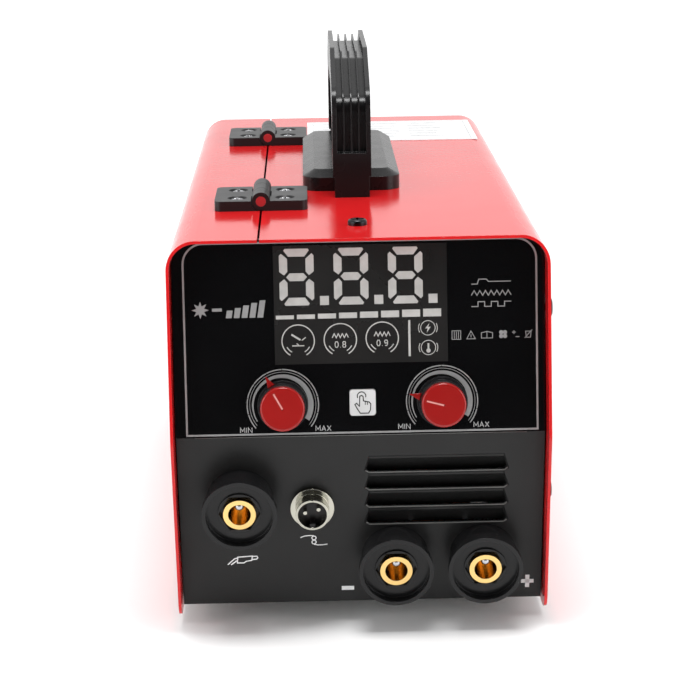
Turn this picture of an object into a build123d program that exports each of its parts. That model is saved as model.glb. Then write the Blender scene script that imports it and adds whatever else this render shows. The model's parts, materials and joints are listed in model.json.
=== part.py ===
from build123d import *
import os
from math import atan2, cos, degrees, radians, sin

# Compact inverter welder: sheet-steel casing, hinged wire-feed door on the left, leaning
# control panel, three quick-connect sockets, moulded carrying handle, fan and feeder inside.
# Millimetres. +X is the user's right, -Y is the front, +Z is up. The origin is on the floor,
# under the middle of the machine.

# ---------------------------------------------------------------- driving dimensions
# Casing
cover_width = 150.0
cover_depth = 350.0
cover_height = 156.4      # from the walls' lower edge to the top
cover_corner = 11.5       # outer bend radius of the two top edges
cover_toe = 8.0           # rounding of the walls' lower front corners
sheet = 1.2
sheet_gap = 0.4           # between nested sheet-metal pieces
foot_height = 9.0
foot_radius = 9.0
foot_inset_x = 20.0       # foot centre from the wall
foot_inset_y = 60.0       # foot centre from the front and rear edges
wall_drop = 2.4           # walls' lower edge below the tray's underside
tray_flange = 20.0
panel_flange = 12.0
door_strip = 36.2         # top strip of the door, from the wall to the hinge line
seam_gap = 0.8
fold_height = 77.2        # front fold above the walls' lower edge
lean_upper = 8.05         # control panel leans back by this angle
lean_lower = 9.44         # socket panel recedes downwards by this angle
front_recess = 10.0       # front panel behind the cover's lip
rear_recess = 8.0
bay_width = 56.8          # wire-feed bay, between door and divider
divider_setback = 30.0    # divider's front edge behind the front fold
screw_bite = 2.0          # reach of the casing screws past the sheets they join
side_screw_heights = (49.4, 124.4)   # above the walls' lower edge
tray_screw_height = 12.4
tray_screw_places = (-90.0, 90.0)    # y of each screw

# Control panel; u and v are measured from the fold's middle, along and up the panel
overlay_thickness = 0.5
window_u = 0.8
window_width = 68.4
window_bottom = 28.6
window_height = 47.0
knob_places = ((-30.7, 12.6, -29.0), (32.4, 12.9, -75.2))   # u, v, pointer angle from up
knob_radius = 8.75
knob_height = 14.0
skirt_radius = 10.0
skirt_lift = 0.7
pointer_reach = 13.7
pointer_half_width = 1.7
spindle_radius = 3.0
bushing_radius = 3.6
pot_nut_radius = 5.5
button_u = 0.9
button_v = 13.0
button_size = 10.3
button_proud = 1.1
button_travel = 0.6
button_gap = 0.25

# Socket panel; u and v again from the fold's middle, v negative downwards
socket_places = (("torch", -48.8, -28.0), ("negative", 13.4, -55.0), ("positive", 49.3, -55.0))
socket_bore_radius = 4.5
socket_contact_radius = 6.5
socket_barrel_radius = 13.6
socket_rim_radius = 15.0
socket_height = 14.5
socket_recess = 3.5
socket_nut_flats = 25.0
connector_u = -19.9
connector_v = -31.5
connector_radius = 6.7
connector_flange_radius = 8.8
connector_height = 8.0
louver_count = 4
louver_pitch = 7.83
louver_u = 30.2
louver_top = -10.1
louver_slot_height = 6.5
louver_half_top = 26.7
louver_half_bottom = 28.6
louver_depth = 4.0        # behind the face, at the opening's lower edge
louver_overlap = 1.7      # hood below the opening's lower edge
louver_corner = (1.4, 1.0)           # cut-off lower corners, along and up
louver_bevel = 0.5

# Handle, measured from the cover's top
handle_x = 0.0
handle_y = 6.0
handle_length = 160.0
handle_height = 60.0
handle_shoulder = 44.5
handle_flat = 78.0
handle_width = 16.5
handle_foot_width = 14.9
handle_thickness = 16.0
handle_wall = 2.0
handle_rib = 0.7
handle_rib_count = 3
handle_rib_drop = 1.7     # ribs' tops below the walls' edges
handle_channel_depth = 4.8
handle_channel_foot = 19.0
base_width = 42.5
base_length = 126.0
base_height = 9.0
base_edge = 6.0
base_bevel = 5.0
base_corner = 8.0

# Label, behind the handle
label_left = -19.0
label_right = 67.0
label_gap = 1.0           # behind the handle
label_inset = 19.0        # from the rear edge
label_thickness = 0.2

# Hinges
hinge_length = 36.0
hinge_half_width = 19.4
hinge_leaf = 4.2
hinge_knuckle_radius = 3.8
hinge_pin_radius = 2.1
hinge_running_gap = 0.05
hinge_places = (-84.0, 95.0)     # y of each hinge's middle
hinge_screw_x = 10.0
hinge_screw_y = 9.5

# Rear panel
fan_size = 80.0
fan_depth = 25.0
fan_lift = 8.0            # fan frame above the tray
rotor_radius = 36.5
switch_x = 8.0
switch_z = 130.0
switch_width = 31.0
switch_height = 25.5
rocker_tilt = 9.0
gland_x = 52.0
gland_z = 128.0
gland_bore_radius = 4.75
gland_reach = 11.0

# Wire feeder
wire_gap = 0.8
drive_roll_radius = 15.0
drive_roll_width = 10.0
drive_roll_y = -75.0
pressure_roller_radius = 9.5
pressure_roller_width = 9.0
shaft_clearance = 0.06
arm_pivot_reach = 26.0    # arm pivot behind the drive roll
tensioner_reach = 28.0    # tensioner pivot ahead of the drive roll
tensioner_offset = 11.2   # tensioner outboard of the wire line
tensioner_rest = 35.0     # released angle, tipped forward from upright
spool_radius = 50.0
spool_width = 45.0
spool_bore_radius = 8.08
spool_shaft_radius = 8.0
spool_y = 75.0
spool_lift = 14.0

# Door latch
latch_y = -20.0
latch_travel = 8.0
latch_width = 14.0
latch_stem_radius = 2.8

# ---------------------------------------------------------------- derived levels and planes
wall_x = cover_width / 2
seam_x = -wall_x + door_strip
inner_x = wall_x - sheet
front_y = -cover_depth / 2
rear_y = cover_depth / 2
tray_z = foot_height
floor_z = tray_z + sheet
edge_z = tray_z - wall_drop
top_z = edge_z + cover_height
ceiling_z = top_z - sheet
fold_z = edge_z + fold_height
fold_y = front_y + front_recess
rear_panel_y = rear_y - rear_recess
rear_inner_y = rear_panel_y - sheet
panel_half = inner_x - sheet_gap
panel_top = ceiling_z - sheet_gap
divider_left = -inner_x + bay_width
divider_right = divider_left + sheet

tilt_up = radians(lean_upper)
tilt_down = radians(lean_lower)
upper_normal = (0, -cos(tilt_up), sin(tilt_up))
lower_normal = (0, -cos(tilt_down), -sin(tilt_down))
control_plane = Plane(origin=(0, fold_y, fold_z), x_dir=(1, 0, 0), z_dir=upper_normal)
socket_plane = Plane(origin=(0, fold_y, fold_z), x_dir=(1, 0, 0), z_dir=lower_normal)

BOTTOM = (Align.CENTER, Align.CENTER, Align.MIN)


# ---------------------------------------------------------------- small helpers
def block(x0, x1, y0, y1, z0, z1):
    """Box between two corners."""
    size = Box(x1 - x0, y1 - y0, z1 - z0)
    return Pos((x0 + x1) / 2, (y0 + y1) / 2, (z0 + z1) / 2) * size


def disc(plane, u, v, radius, low, high):
    """Cylinder standing on a plane's point, between two heights above the plane."""
    return plane.location * Pos(u, v, low) * Cylinder(radius, high - low, align=BOTTOM)


def plate(plane, u, v, width, height, low, high, corner=0.0):
    """Rectangular plate parallel to a plane, with optional rounded corners."""
    outline = RectangleRounded(width, height, corner) if corner else Rectangle(width, height)
    return plane.location * Pos(u, v, low) * extrude(outline, high - low)


def prism_x(points, x0, x1):
    """Outline in Y and Z, extruded along X."""
    return extrude(Plane.YZ.offset(x0) * Polygon(*points, align=None), x1 - x0, dir=(1, 0, 0))


def prism_y(points, y0, y1):
    """Outline in X and Z, extruded along Y."""
    side = Plane(origin=(0, y1, 0), x_dir=(1, 0, 0), z_dir=(0, -1, 0))
    return extrude(side * Polygon(*points, align=None), y1 - y0, dir=(0, -1, 0))


def rod_x(y, z, radius, x0, x1):
    """Cylinder along X."""
    return disc(Plane(origin=(0, y, z), x_dir=(0, 1, 0), z_dir=(1, 0, 0)), 0, 0, radius, x0, x1)


def rod_y(x, z, radius, y0, y1):
    """Cylinder along Y."""
    return disc(Plane(origin=(x, 0, z), x_dir=(1, 0, 0), z_dir=(0, 1, 0)), 0, 0, radius, y0, y1)


def rod_z(x, y, radius, z0, z1):
    """Cylinder along Z."""
    return disc(Plane.XY, x, y, radius, z0, z1)


def hex_bar(plane, u, v, across_flats, low, high):
    """Hexagonal bar on a plane."""
    outline = RegularPolygon(across_flats / 2, 6, major_radius=False)
    return plane.location * Pos(u, v, low) * extrude(outline, high - low)


def plane_y(x, z):
    """Plane facing the rear at a point of the X-Z field, its height measured along +Y."""
    return Plane(origin=(x, 0, z), x_dir=(-1, 0, 0), z_dir=(0, 1, 0))


def group(shapes):
    """Separate solids kept together in one node."""
    solids = [solid for shape in shapes for solid in shape.solids()]
    return Compound(solids)


# ---------------------------------------------------------------- casing
def side_outline(inset_front, inset_rear, low, high, toe=0.0):
    """Side view of the casing: leaning front above and below the fold, upright rear."""
    y_fold = front_y + inset_front
    reach_up = (high - fold_z) * sin(tilt_up) / cos(tilt_up)
    reach_down = (fold_z - low) * sin(tilt_down) / cos(tilt_down)
    y_rear = rear_y - inset_rear
    points = [(y_fold + reach_down, low), (y_fold, fold_z), (y_fold + reach_up, high)]
    points += [(y_rear, high), (y_rear, low)]
    face = Polygon(*points, align=None)
    if toe:
        face = fillet([v for v in face.vertices() if abs(v.Y - low) < 0.01], toe)
    return face


def casing_solid(inset, low, high, front, rear, corner, toe=0.0):
    """Solid with the casing's arched section and its side view."""
    half = wall_x - inset
    arch = block(-half, half, front_y - 1, rear_y + 1, low, high)
    arch = fillet(arch.edges().filter_by(Axis.Y).group_by(Axis.Z)[-1], corner)
    face = Plane.YZ.offset(-half - 1) * side_outline(front, rear, low, high, toe)
    side = extrude(face, 2 * half + 2, dir=(1, 0, 0))
    return arch & side


def cover_shell():
    outer = casing_solid(0, edge_z, top_z, 0, 0, cover_corner, cover_toe)
    hollow = block(-inner_x, inner_x, front_y - 5, rear_y + 5, edge_z - 5, ceiling_z)
    hollow = fillet(hollow.edges().filter_by(Axis.Y).group_by(Axis.Z)[-1], cover_corner - sheet)
    return outer - hollow


def front_layer(near, far):
    """Layer of the casing's inside that follows the folded front, between two depths behind it."""
    corner = cover_corner - sheet - sheet_gap
    whole = casing_solid(sheet + sheet_gap, tray_z, panel_top, front_recess + near, rear_recess, corner)
    behind = casing_solid(sheet + sheet_gap - 1, tray_z - 1, panel_top + 1, front_recess + far,
                          rear_recess - 1, corner)
    return whole - behind


def louver(v_top):
    """One pressed-in louver: the opening in the sheet, the hood behind it, and its bevelled rim."""
    v_low = v_top - louver_slot_height
    v_end = v_low - louver_overlap
    cut_u, cut_v = louver_corner
    deep = louver_depth * (v_top - v_end) / louver_slot_height + 2 * sheet

    def outline(grow, low):
        """Slot's outline with its lower edge at a level."""
        wide = louver_half_bottom + grow
        narrow = louver_half_top + grow
        points = [(-narrow, v_top + grow), (narrow, v_top + grow), (wide, low + cut_v), (wide - cut_u, low)]
        points += [(cut_u - wide, low), (-wide, low + cut_v)]
        return Polygon(*points, align=None)

    def prism(face, low, high):
        return extrude(Pos(0, 0, low) * face, high - low, dir=(0, 0, 1))

    def under_ramp(grow):
        """Everything in front of the ramp that slopes inwards from the slot's upper edge."""
        far = louver_depth * (v_top - v_end) / louver_slot_height
        points = [(v_top + grow, 1), (v_top + grow, -grow), (v_end, -far - grow), (v_end, 1)]
        side = Plane(origin=(0, 0, 0), x_dir=(0, 1, 0), z_dir=(1, 0, 0))
        reach = 2 * louver_half_bottom
        return extrude(side.offset(-reach / 2 - 5) * Polygon(*points, align=None), reach + 10, dir=(1, 0, 0))

    wall = sheet * 0.8
    passage = prism(outline(0, v_low), -sheet, 1) + prism(outline(0, v_end), -deep, -sheet)
    mouth = passage & under_ramp(0)
    rim = outline(louver_bevel, v_low - louver_bevel)
    mouth += loft([Pos(0, 0, 0.01) * rim, Pos(0, 0, -louver_bevel) * outline(0, v_low)], ruled=True)
    hood = prism(outline(wall, v_end), -deep, 0) & under_ramp(wall)
    place = socket_plane.location * Pos(louver_u, 0, 0)
    return place * mouth, place * hood


def front_panel():
    body = front_layer(0, sheet)
    side = block(panel_half - sheet, panel_half, front_y, rear_y, floor_z, panel_top)
    body += front_layer(0, panel_flange) & side
    foot_y = fold_y + (fold_z - floor_z) * sin(tilt_down) / cos(tilt_down)
    body += block(-panel_half, panel_half, foot_y, foot_y + panel_flange, floor_z, floor_z + sheet)
    tab_y = fold_y + (panel_top - fold_z) * sin(tilt_up) / cos(tilt_up)
    body += block(-15, 15, tab_y, tab_y + 32, panel_top - sheet, panel_top)
    hoods = [louver(louver_top - i * louver_pitch) for i in range(louver_count)]
    for mouth, hood in hoods:
        body += hood
    for mouth, hood in hoods:
        body -= mouth
    window_v = window_bottom + window_height / 2
    body -= plate(control_plane, window_u, window_v, window_width - 4, window_height - 4, -3, 1)
    body -= plate(control_plane, button_u, button_v, button_size + 0.6, button_size + 0.6, -3, 1)
    for u, v, angle in knob_places:
        body -= disc(control_plane, u, v, bushing_radius + 0.2, -3, 1)
    for name, u, v in socket_places:
        body -= disc(socket_plane, u, v, socket_barrel_radius - 2.4, -3, 1)
    body -= disc(socket_plane, connector_u, connector_v, connector_radius + 0.2, -3, 1)
    body -= rod_z(screw_top[0], screw_top[1], 1.6, panel_top - 5, panel_top + 1)
    for y, z in side_screws(front=True):
        body -= rod_x(y, z, 1.6, panel_half - 3, panel_half + 1)
    return body


def rear_panel():
    half = panel_half
    body = block(-half, half, rear_inner_y, rear_panel_y, tray_z, panel_top)
    body += block(-half, half, rear_inner_y - panel_flange, rear_inner_y, tray_z, panel_top)
    body = fillet(body.edges().filter_by(Axis.Y).group_by(Axis.Z)[-1], cover_corner - sheet - sheet_gap)
    body -= block(-half - 1, half - sheet, rear_inner_y - panel_flange - 1, rear_inner_y, floor_z + sheet,
                  panel_top + 1)
    body -= block(-half - 1, half + 1, rear_inner_y - panel_flange - 1, rear_inner_y, tray_z - 1, floor_z)
    body -= block(half - sheet - 1, half + 1, rear_inner_y - panel_flange - 1, rear_inner_y,
                  panel_top - cover_corner, panel_top + 1)
    body -= rod_y(fan_x, fan_z, rotor_radius + 1.0, rear_inner_y - 2, rear_panel_y + 2)
    for dx in (-1, 1):
        for dz in (-1, 1):
            x, z = fan_x + dx * fan_bolt, fan_z + dz * fan_bolt
            body -= rod_y(x, z, 2.2, rear_inner_y - 2, rear_panel_y + 2)
    body -= block(switch_x - switch_width / 2 + 1.8, switch_x + switch_width / 2 - 1.8, rear_inner_y - 2,
                  rear_panel_y + 2, switch_z - switch_height / 2 + 1.8, switch_z + switch_height / 2 - 1.8)
    body -= rod_y(gland_x, gland_z, gland_thread, rear_inner_y - 2, rear_panel_y + 2)
    body -= rod_y(ground_x, ground_z, 2.6, rear_inner_y - 2, rear_panel_y + 2)
    for y, z in side_screws(front=False):
        body -= rod_x(y, z, 1.6, panel_half - 3, panel_half + 1)
    return body


def side_screws(front):
    """Y and Z of the screws through the right wall, at the front or the rear panel's flange."""
    low, high = [edge_z + height for height in side_screw_heights]
    if front:
        drop = (fold_z - low) * sin(tilt_down) / cos(tilt_down)
        rise = (high - fold_z) * sin(tilt_up) / cos(tilt_up)
        return [(fold_y + drop + 7.0, low), (fold_y + rise + 7.0, high)]
    return [(rear_inner_y - 7.0, low), (rear_inner_y - 7.0, high)]


def tray_screws():
    """Y and Z of the screws into the tray's right flange."""
    return [(y, edge_z + tray_screw_height) for y in tray_screw_places]


screw_top = (0.5, front_y + 39.0)
fan_x = (divider_right + inner_x) / 2
fan_z = floor_z + fan_lift + fan_size / 2
fan_bolt = fan_size / 2 - 4.3
gland_thread = gland_bore_radius + 4.0
ground_x = -35.0
ground_z = 26.0


def base_tray():
    half = panel_half
    foot_y = fold_y + (fold_z - tray_z) * sin(tilt_down) / cos(tilt_down) + sheet + 0.6
    body = block(-half, half, foot_y, rear_inner_y - 0.2, tray_z, floor_z)
    long_y0 = foot_y + panel_flange + 2
    long_y1 = rear_inner_y - panel_flange - 2
    for side in (-1, 1):
        x0, x1 = sorted((side * (half - sheet), side * half))
        body += block(x0, x1, long_y0, long_y1, tray_z, floor_z + tray_flange)
    strike_top = floor_z + tray_flange
    body += block(-half, -half + 14, latch_y - 20, latch_y + 20, strike_top - sheet, strike_top)
    slot_x = latch_tongue_x
    body -= block(slot_x - 2.2, slot_x + 2.2, latch_y - latch_width / 2 - 1, latch_y + latch_width / 2 + 1,
                  strike_top - 5, strike_top + 1)
    for x in (20.0, 50.0):
        for row in range(7):
            y = -60.0 + row * 14
            body -= plate(Plane.XY, x, y, 22, 4, tray_z - 1, floor_z + 1, 1.9)
    for x, y in foot_places:
        body -= rod_z(x, y, 2.2, tray_z - 1, floor_z + 1)
    for y, z in tray_screws():
        body -= rod_x(y, z, 1.6, half - 3, half + 1)
    return body


foot_x = wall_x - foot_inset_x
foot_y = rear_y - foot_inset_y
foot_places = [(sx * foot_x, sy * foot_y) for sx in (-1, 1) for sy in (-1, 1)]
latch_tongue_x = -inner_x + 5.5


def rubber_feet():
    feet = []
    for x, y in foot_places:
        foot = Pos(x, y, 0) * Cone(foot_radius - 1.2, foot_radius, foot_height, align=BOTTOM)
        foot -= rod_z(x, y, 4.5, -1, foot_height * 0.5)
        foot -= rod_z(x, y, 2.1, -1, foot_height + 1)
        feet.append(foot)
    return group(feet)


def foot_screws():
    screws = []
    for x, y in foot_places:
        screw = rod_z(x, y, 4.2, foot_height * 0.5 - 3, foot_height * 0.5)
        screw += rod_z(x, y, 2.0, foot_height * 0.5, floor_z + 5)
        screw += hex_bar(Plane.XY, x, y, 7, floor_z, floor_z + 3.2)
        screws.append(screw)
    return group(screws)


def main_cover():
    cover = cover_shell()
    cover -= block(-wall_x - 1, seam_x + seam_gap / 2, front_y - 1, rear_y + 1, edge_z - 1, top_z + 1)
    for y, z in side_screws(True) + side_screws(False) + tray_screws():
        cover -= rod_x(y, z, 2.1, inner_x - 2, wall_x + 2)
    cover -= rod_z(screw_top[0], screw_top[1], 2.1, ceiling_z - 2, top_z + 2)
    for x, y in handle_screw_places:
        cover -= rod_z(x, y, 2.7, ceiling_z - 2, top_z + 2)
    for x, y in hinge_screw_places(1):
        cover -= rod_z(x, y, 1.7, ceiling_z - 2, top_z + 2)
    return cover


def side_door():
    door = cover_shell()
    door -= block(seam_x - seam_gap / 2, wall_x + 1, front_y - 1, rear_y + 1, edge_z - 1, top_z + 1)
    slot_size = 2 * latch_stem_radius + 0.8
    door -= plate(latch_plane, -latch_y, latch_z - latch_travel / 2, slot_size, latch_travel + slot_size,
                  -sheet - 2, 2, slot_size / 2 - 0.01)
    for dy in (-11, 11):
        door -= rod_x(latch_y + dy, latch_z + 8, 1.6, -wall_x - 1, -inner_x + 1)
    for x, y in hinge_screw_places(-1):
        door -= rod_z(x, y, 1.7, ceiling_z - 2, top_z + 2)
    return door


# ---------------------------------------------------------------- screws
def pan_head(plane, u, v, head_radius, head_height, shank_radius, shank_length):
    """Cross-recessed pan-head screw, seated on a plane and pointing down into it."""
    head = disc(plane, u, v, head_radius, 0, head_height)
    head = fillet(head.edges().sort_by(lambda e: -abs((e.center() - plane.origin).dot(plane.z_dir)))[0],
                  head_height * 0.55)
    for turn in (0, 90):
        slot = plane.location * Pos(u, v, head_height * 0.35) * Rot(0, 0, turn)
        head -= slot * Box(head_radius * 1.1, head_radius * 0.26, head_height, align=BOTTOM)
    return head + disc(plane, u, v, shank_radius, -shank_length, 0)


right_wall = Plane(origin=(wall_x, 0, 0), x_dir=(0, 1, 0), z_dir=(1, 0, 0))
top_face = Plane(origin=(0, 0, top_z), x_dir=(1, 0, 0), z_dir=(0, 0, 1))
rear_face = Plane(origin=(0, rear_panel_y, 0), x_dir=(-1, 0, 0), z_dir=(0, 1, 0))


def cover_screws():
    places = side_screws(True) + side_screws(False) + tray_screws()
    reach = 2 * sheet + sheet_gap + screw_bite
    screws = [pan_head(right_wall, y, z, 3.9, 2.2, 1.55, reach) for y, z in places]
    screws.append(pan_head(top_face, screw_top[0], screw_top[1], 3.9, 2.4, 1.55, reach))
    return group(screws)


def ground_screw():
    screw = hex_bar(rear_face, -ground_x, ground_z, 9.5, 1.0, 5.0)
    screw += disc(rear_face, -ground_x, ground_z, 7.0, 0, 1.0)
    screw += disc(rear_face, -ground_x, ground_z, 2.5, -12, 8.0)
    return screw


# ---------------------------------------------------------------- hinges
def hinge_screw_places(side):
    x = seam_x + side * hinge_screw_x
    return [(x, y + dy) for y in hinge_places for dy in (-hinge_screw_y, hinge_screw_y)]


def hinge_leaf_solid(side, y_mid):
    """One leaf: plate with countersunk holes, and its share of the three knuckles."""
    y0 = y_mid - hinge_length / 2
    y1 = y_mid + hinge_length / 2
    axis_z = top_z + hinge_axis_height
    x0, x1 = sorted((seam_x + side * 0.6, seam_x + side * hinge_half_width))
    leaf = block(x0, x1, y0, y1, top_z, top_z + hinge_leaf)
    outer = leaf.edges().filter_by(Axis.Z).sort_by(lambda e: -side * e.center().X)[:2]
    leaf = fillet(outer, 3.0)
    leaf -= rod_y(seam_x, axis_z, hinge_knuckle_radius + 0.35, y0 - 1, y1 + 1)
    third = hinge_length / 3
    middle = [(y0 + third + 0.2, y1 - third - 0.2)]
    ends = [(y0, y0 + third - 0.2), (y1 - third + 0.2, y1)]
    own = middle if side < 0 else ends
    for a, b in own:
        bridge = block(x0, x1, a, b, top_z, top_z + hinge_leaf)
        bridge &= rod_y(seam_x, axis_z, hinge_knuckle_radius + 3.0, a, b)
        keep = block(min(seam_x, seam_x + side * 8), max(seam_x, seam_x + side * 8), a, b, top_z + 0.3,
                     top_z + hinge_leaf)
        leaf += (bridge & keep) + rod_y(seam_x, axis_z, hinge_knuckle_radius, a, b)
    gap = hinge_running_gap if side < 0 else 0.0
    leaf -= rod_y(seam_x, axis_z, hinge_pin_radius + gap, y0 - 1, y1 + 1)
    for x, y in [(seam_x + side * hinge_screw_x, y_mid + dy) for dy in (-hinge_screw_y, hinge_screw_y)]:
        leaf -= rod_z(x, y, 1.8, top_z - 1, top_z + hinge_leaf + 1)
        leaf -= Pos(x, y, top_z + 1.6) * Cone(1.8, 4.2, hinge_leaf - 1.6, align=BOTTOM)
    return leaf


hinge_axis_height = hinge_knuckle_radius + 0.2


def hinge_leaves(side):
    return group([hinge_leaf_solid(side, y) for y in hinge_places])


def hinge_pins():
    axis_z = top_z + hinge_axis_height
    half = hinge_length / 2
    return group([rod_y(seam_x, axis_z, hinge_pin_radius, y - half, y + half) for y in hinge_places])


def hinge_screws(side):
    screws = []
    for x, y in hinge_screw_places(side):
        head = Pos(x, y, top_z + 1.75) * Cone(1.6, 3.2, 1.6, align=BOTTOM)
        head += Pos(x, y, top_z + 3.35) * Cone(3.2, 2.0, 0.5, align=BOTTOM)
        for turn in (0, 90):
            head -= Pos(x, y, top_z + 3.0) * Rot(0, 0, turn) * Box(3.4, 0.8, 2, align=BOTTOM)
        head += rod_z(x, y, 1.55, ceiling_z - 4, top_z + 1.75)
        head += rod_z(x, y, 3.0, ceiling_z - 2.6, ceiling_z)
        screws.append(head)
    return group(screws)


# ---------------------------------------------------------------- handle
def arch_outline(shrink, foot):
    """Handle's side view, shrunk inwards from its outer outline, with rounded bends."""
    half = handle_length / 2 - shrink
    flat = handle_flat / 2 - shrink * 0.28
    shoulder = handle_shoulder - shrink * 0.72
    top = handle_height - shrink
    lean = 1.5
    points = [(-half, foot), (-half + lean, shoulder), (-flat, top), (flat, top), (half - lean, shoulder)]
    points += [(half, foot)]
    face = Polygon(*points, align=None)
    bends = [v for v in face.vertices() if v.Y > foot + 1]
    low_bends = [v for v in bends if v.Y < top - 1]
    high_bends = [v for v in bends if v.Y >= top - 1]
    face = fillet(low_bends, max(9.0 - shrink * 0.35, 3.0))
    high_bends = [v for v in face.vertices() if abs(v.Y - top) < 0.01 and abs(abs(v.X) - flat) < 0.01]
    return fillet(high_bends, 6.0)


def arch_solid(shrink, foot, half_width):
    side = Plane(origin=(handle_x - half_width, handle_y, top_z), x_dir=(0, 1, 0), z_dir=(1, 0, 0))
    return extrude(side * arch_outline(shrink, foot), 2 * half_width, dir=(1, 0, 0))


def carry_handle():
    half = handle_width / 2
    handle = arch_solid(0, 0, half) - arch_solid(handle_thickness, -1, half + 1)
    inner = handle_width - 2 * handle_wall
    channel = (inner - handle_rib_count * handle_rib) / (handle_rib_count + 1)
    left = handle_x - half + handle_wall
    cuts = [(left, left + inner, handle_rib_drop)]
    for i in range(handle_rib_count + 1):
        x0 = left + i * (channel + handle_rib)
        cuts.append((x0, x0 + channel, handle_channel_depth))
    foot = top_z + handle_channel_foot
    for x0, x1, depth in cuts:
        skin = arch_solid(-4, -1, half + 1) - arch_solid(depth, -1, half + 1)
        handle -= skin & block(x0, x1, -rear_y, rear_y, foot, foot + handle_height)
    trim = (handle_width - handle_foot_width) / 2
    for side in (-1, 1):
        edge = handle_x + side * half
        x0, x1 = sorted((edge - side * trim, edge + side))
        handle -= block(x0, x1, -rear_y, rear_y, top_z - 1, top_z + base_height)
    handle -= base_solid()
    for x, y in handle_screw_places:
        handle -= rod_z(x, y, 2.5, top_z - 1, top_z + 10)
    return handle


def base_solid():
    """Bevelled plate under the handle."""
    outline = RectangleRounded(base_width, base_length, base_corner)
    rise = base_height - base_edge
    lower = Pos(handle_x, handle_y, top_z) * extrude(outline, base_edge)
    upper = extrude(outline, rise, taper=degrees(atan2(base_bevel, rise)))
    return lower + Pos(handle_x, handle_y, top_z + base_edge) * upper


handle_screw_reach = (handle_length - handle_thickness) / 2
handle_screw_places = [(handle_x, handle_y + side * handle_screw_reach) for side in (-1, 1)]


def handle_screws():
    screws = []
    for x, y in handle_screw_places:
        screw = rod_z(x, y, 5.5, ceiling_z - 1.2, ceiling_z)
        screw += hex_bar(Plane.XY, x, y, 8.5, ceiling_z - 5.0, ceiling_z - 1.2)
        screw += rod_z(x, y, 2.5, ceiling_z - 1.2, top_z + 10)
        screws.append(screw)
    return group(screws)


# ---------------------------------------------------------------- control panel
def control_overlay():
    skin = front_layer(-overlay_thickness, 0)
    skin &= block(-wall_x, wall_x, front_y - 5, rear_y, fold_z + 0.1, top_z)
    window_v = window_bottom + window_height / 2
    skin -= plate(control_plane, window_u, window_v, window_width, window_height, -1, 2)
    key_hole = button_size + 2 * button_gap
    skin -= plate(control_plane, button_u, button_v, key_hole, key_hole, -1, 2, 1.4)
    for u, v, angle in knob_places:
        skin -= disc(control_plane, u, v, pot_nut_radius + 0.5, -1, 2)
    return skin


def display_window():
    window_v = window_bottom + window_height / 2
    width, height = window_width - 0.1, window_height - 0.1
    return plate(control_plane, window_u, window_v, width, height, 0, overlay_thickness)


def display_module():
    """Three-digit display block with its backplate and pins."""
    window_v = window_bottom + window_height / 2
    body = plate(control_plane, window_u, window_v, window_width - 5, window_height - 5, board_front, -0.4)
    return body


board_front = -12.0
board_back = board_front - 1.6


def control_board():
    board = plate(control_plane, 1.0, 40.0, 100, 68, board_back, board_front)
    for u, v, angle in knob_places:
        board -= disc(control_plane, u, v, 4.2, board_back - 1, board_front + 1)
    for u in (-44, 46):
        for v in (30, 70):
            board += disc(control_plane, u, v, 2.5, board_front, -sheet)
    for i in range(3):
        board += plate(control_plane, -20 + i * 18, 50, 9, 14, board_back - 2.2, board_back)
    board += plate(control_plane, 30, 30, 20, 8, board_back - 9, board_back)
    return board


def potentiometers():
    pots = []
    for u, v, angle in knob_places:
        pot = disc(control_plane, u, v, 8.3, -sheet - 8.5, -sheet)
        pot += disc(control_plane, u, v, bushing_radius, -sheet, 3.2)
        pot += hex_bar(control_plane, u, v, 10, 0.0, 2.2) & disc(control_plane, u, v, pot_nut_radius, 0, 2.2)
        for du in (-5, 0, 5):
            pot += plate(control_plane, u + du, v - 10.5, 1.2, 5.5, -sheet - 7.6, -sheet - 6.9)
        pot -= disc(control_plane, u, v, spindle_radius + shaft_clearance, -sheet - 7.5, 4)
        pots.append(pot)
    return group(pots)


def spindle(u, v):
    return disc(control_plane, u, v, spindle_radius, -sheet - 7.2, knob_height - 4)


def knob_skirt(u, v):
    """Fluted black skirt with a hollow underside."""
    low = overlay_thickness + skirt_lift
    skirt = disc(control_plane, u, v, skirt_radius, low, low + 2.4)
    cone = Cone(skirt_radius - 0.9, knob_radius - 0.2, knob_height - 3.6 - low, align=BOTTOM)
    skirt += control_plane.location * Pos(u, v, low) * cone
    for i in range(24):
        turn = control_plane.location * Pos(u, v, low + 2.4) * Rot(0, 0, i * 15)
        skirt -= turn * Pos(skirt_radius - 0.75, 0, 0) * Cylinder(0.45, knob_height, align=BOTTOM)
    skirt -= disc(control_plane, u, v, 6.6, low - 1, low + 3.6)
    skirt -= disc(control_plane, u, v, spindle_radius, low - 1, knob_height - 4)
    return skirt


def knob_cap(u, v, angle):
    """Red cap with a marker groove, and the red pointer that lies on the skirt."""
    low = overlay_thickness + skirt_lift
    cap = disc(control_plane, u, v, knob_radius, knob_height - 3.6, knob_height)
    rim = cap.edges().sort_by(lambda e: (e.center() - control_plane.origin).dot(control_plane.z_dir))[-1]
    cap = fillet(rim, 0.9)
    turn = control_plane.location * Pos(u, v, 0) * Rot(0, 0, -angle)
    groove = Box(0.7, knob_radius * 0.85, 1, align=BOTTOM)
    cap -= turn * Pos(0, knob_radius * 0.38, knob_height - 0.25) * groove
    return cap


def knob_pointer(u, v, angle):
    low = overlay_thickness + skirt_lift
    base = skirt_radius - 1.6
    points = [(-pointer_half_width, base), (pointer_half_width, base), (0, pointer_reach)]
    turn = control_plane.location * Pos(u, v, low + 2.4) * Rot(0, 0, -angle)
    arrow = extrude(Polygon(*points, align=None), 0.9, dir=(0, 0, 1))
    return turn * arrow - disc(control_plane, u, v, skirt_radius - 0.9, low, low + 5)


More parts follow.
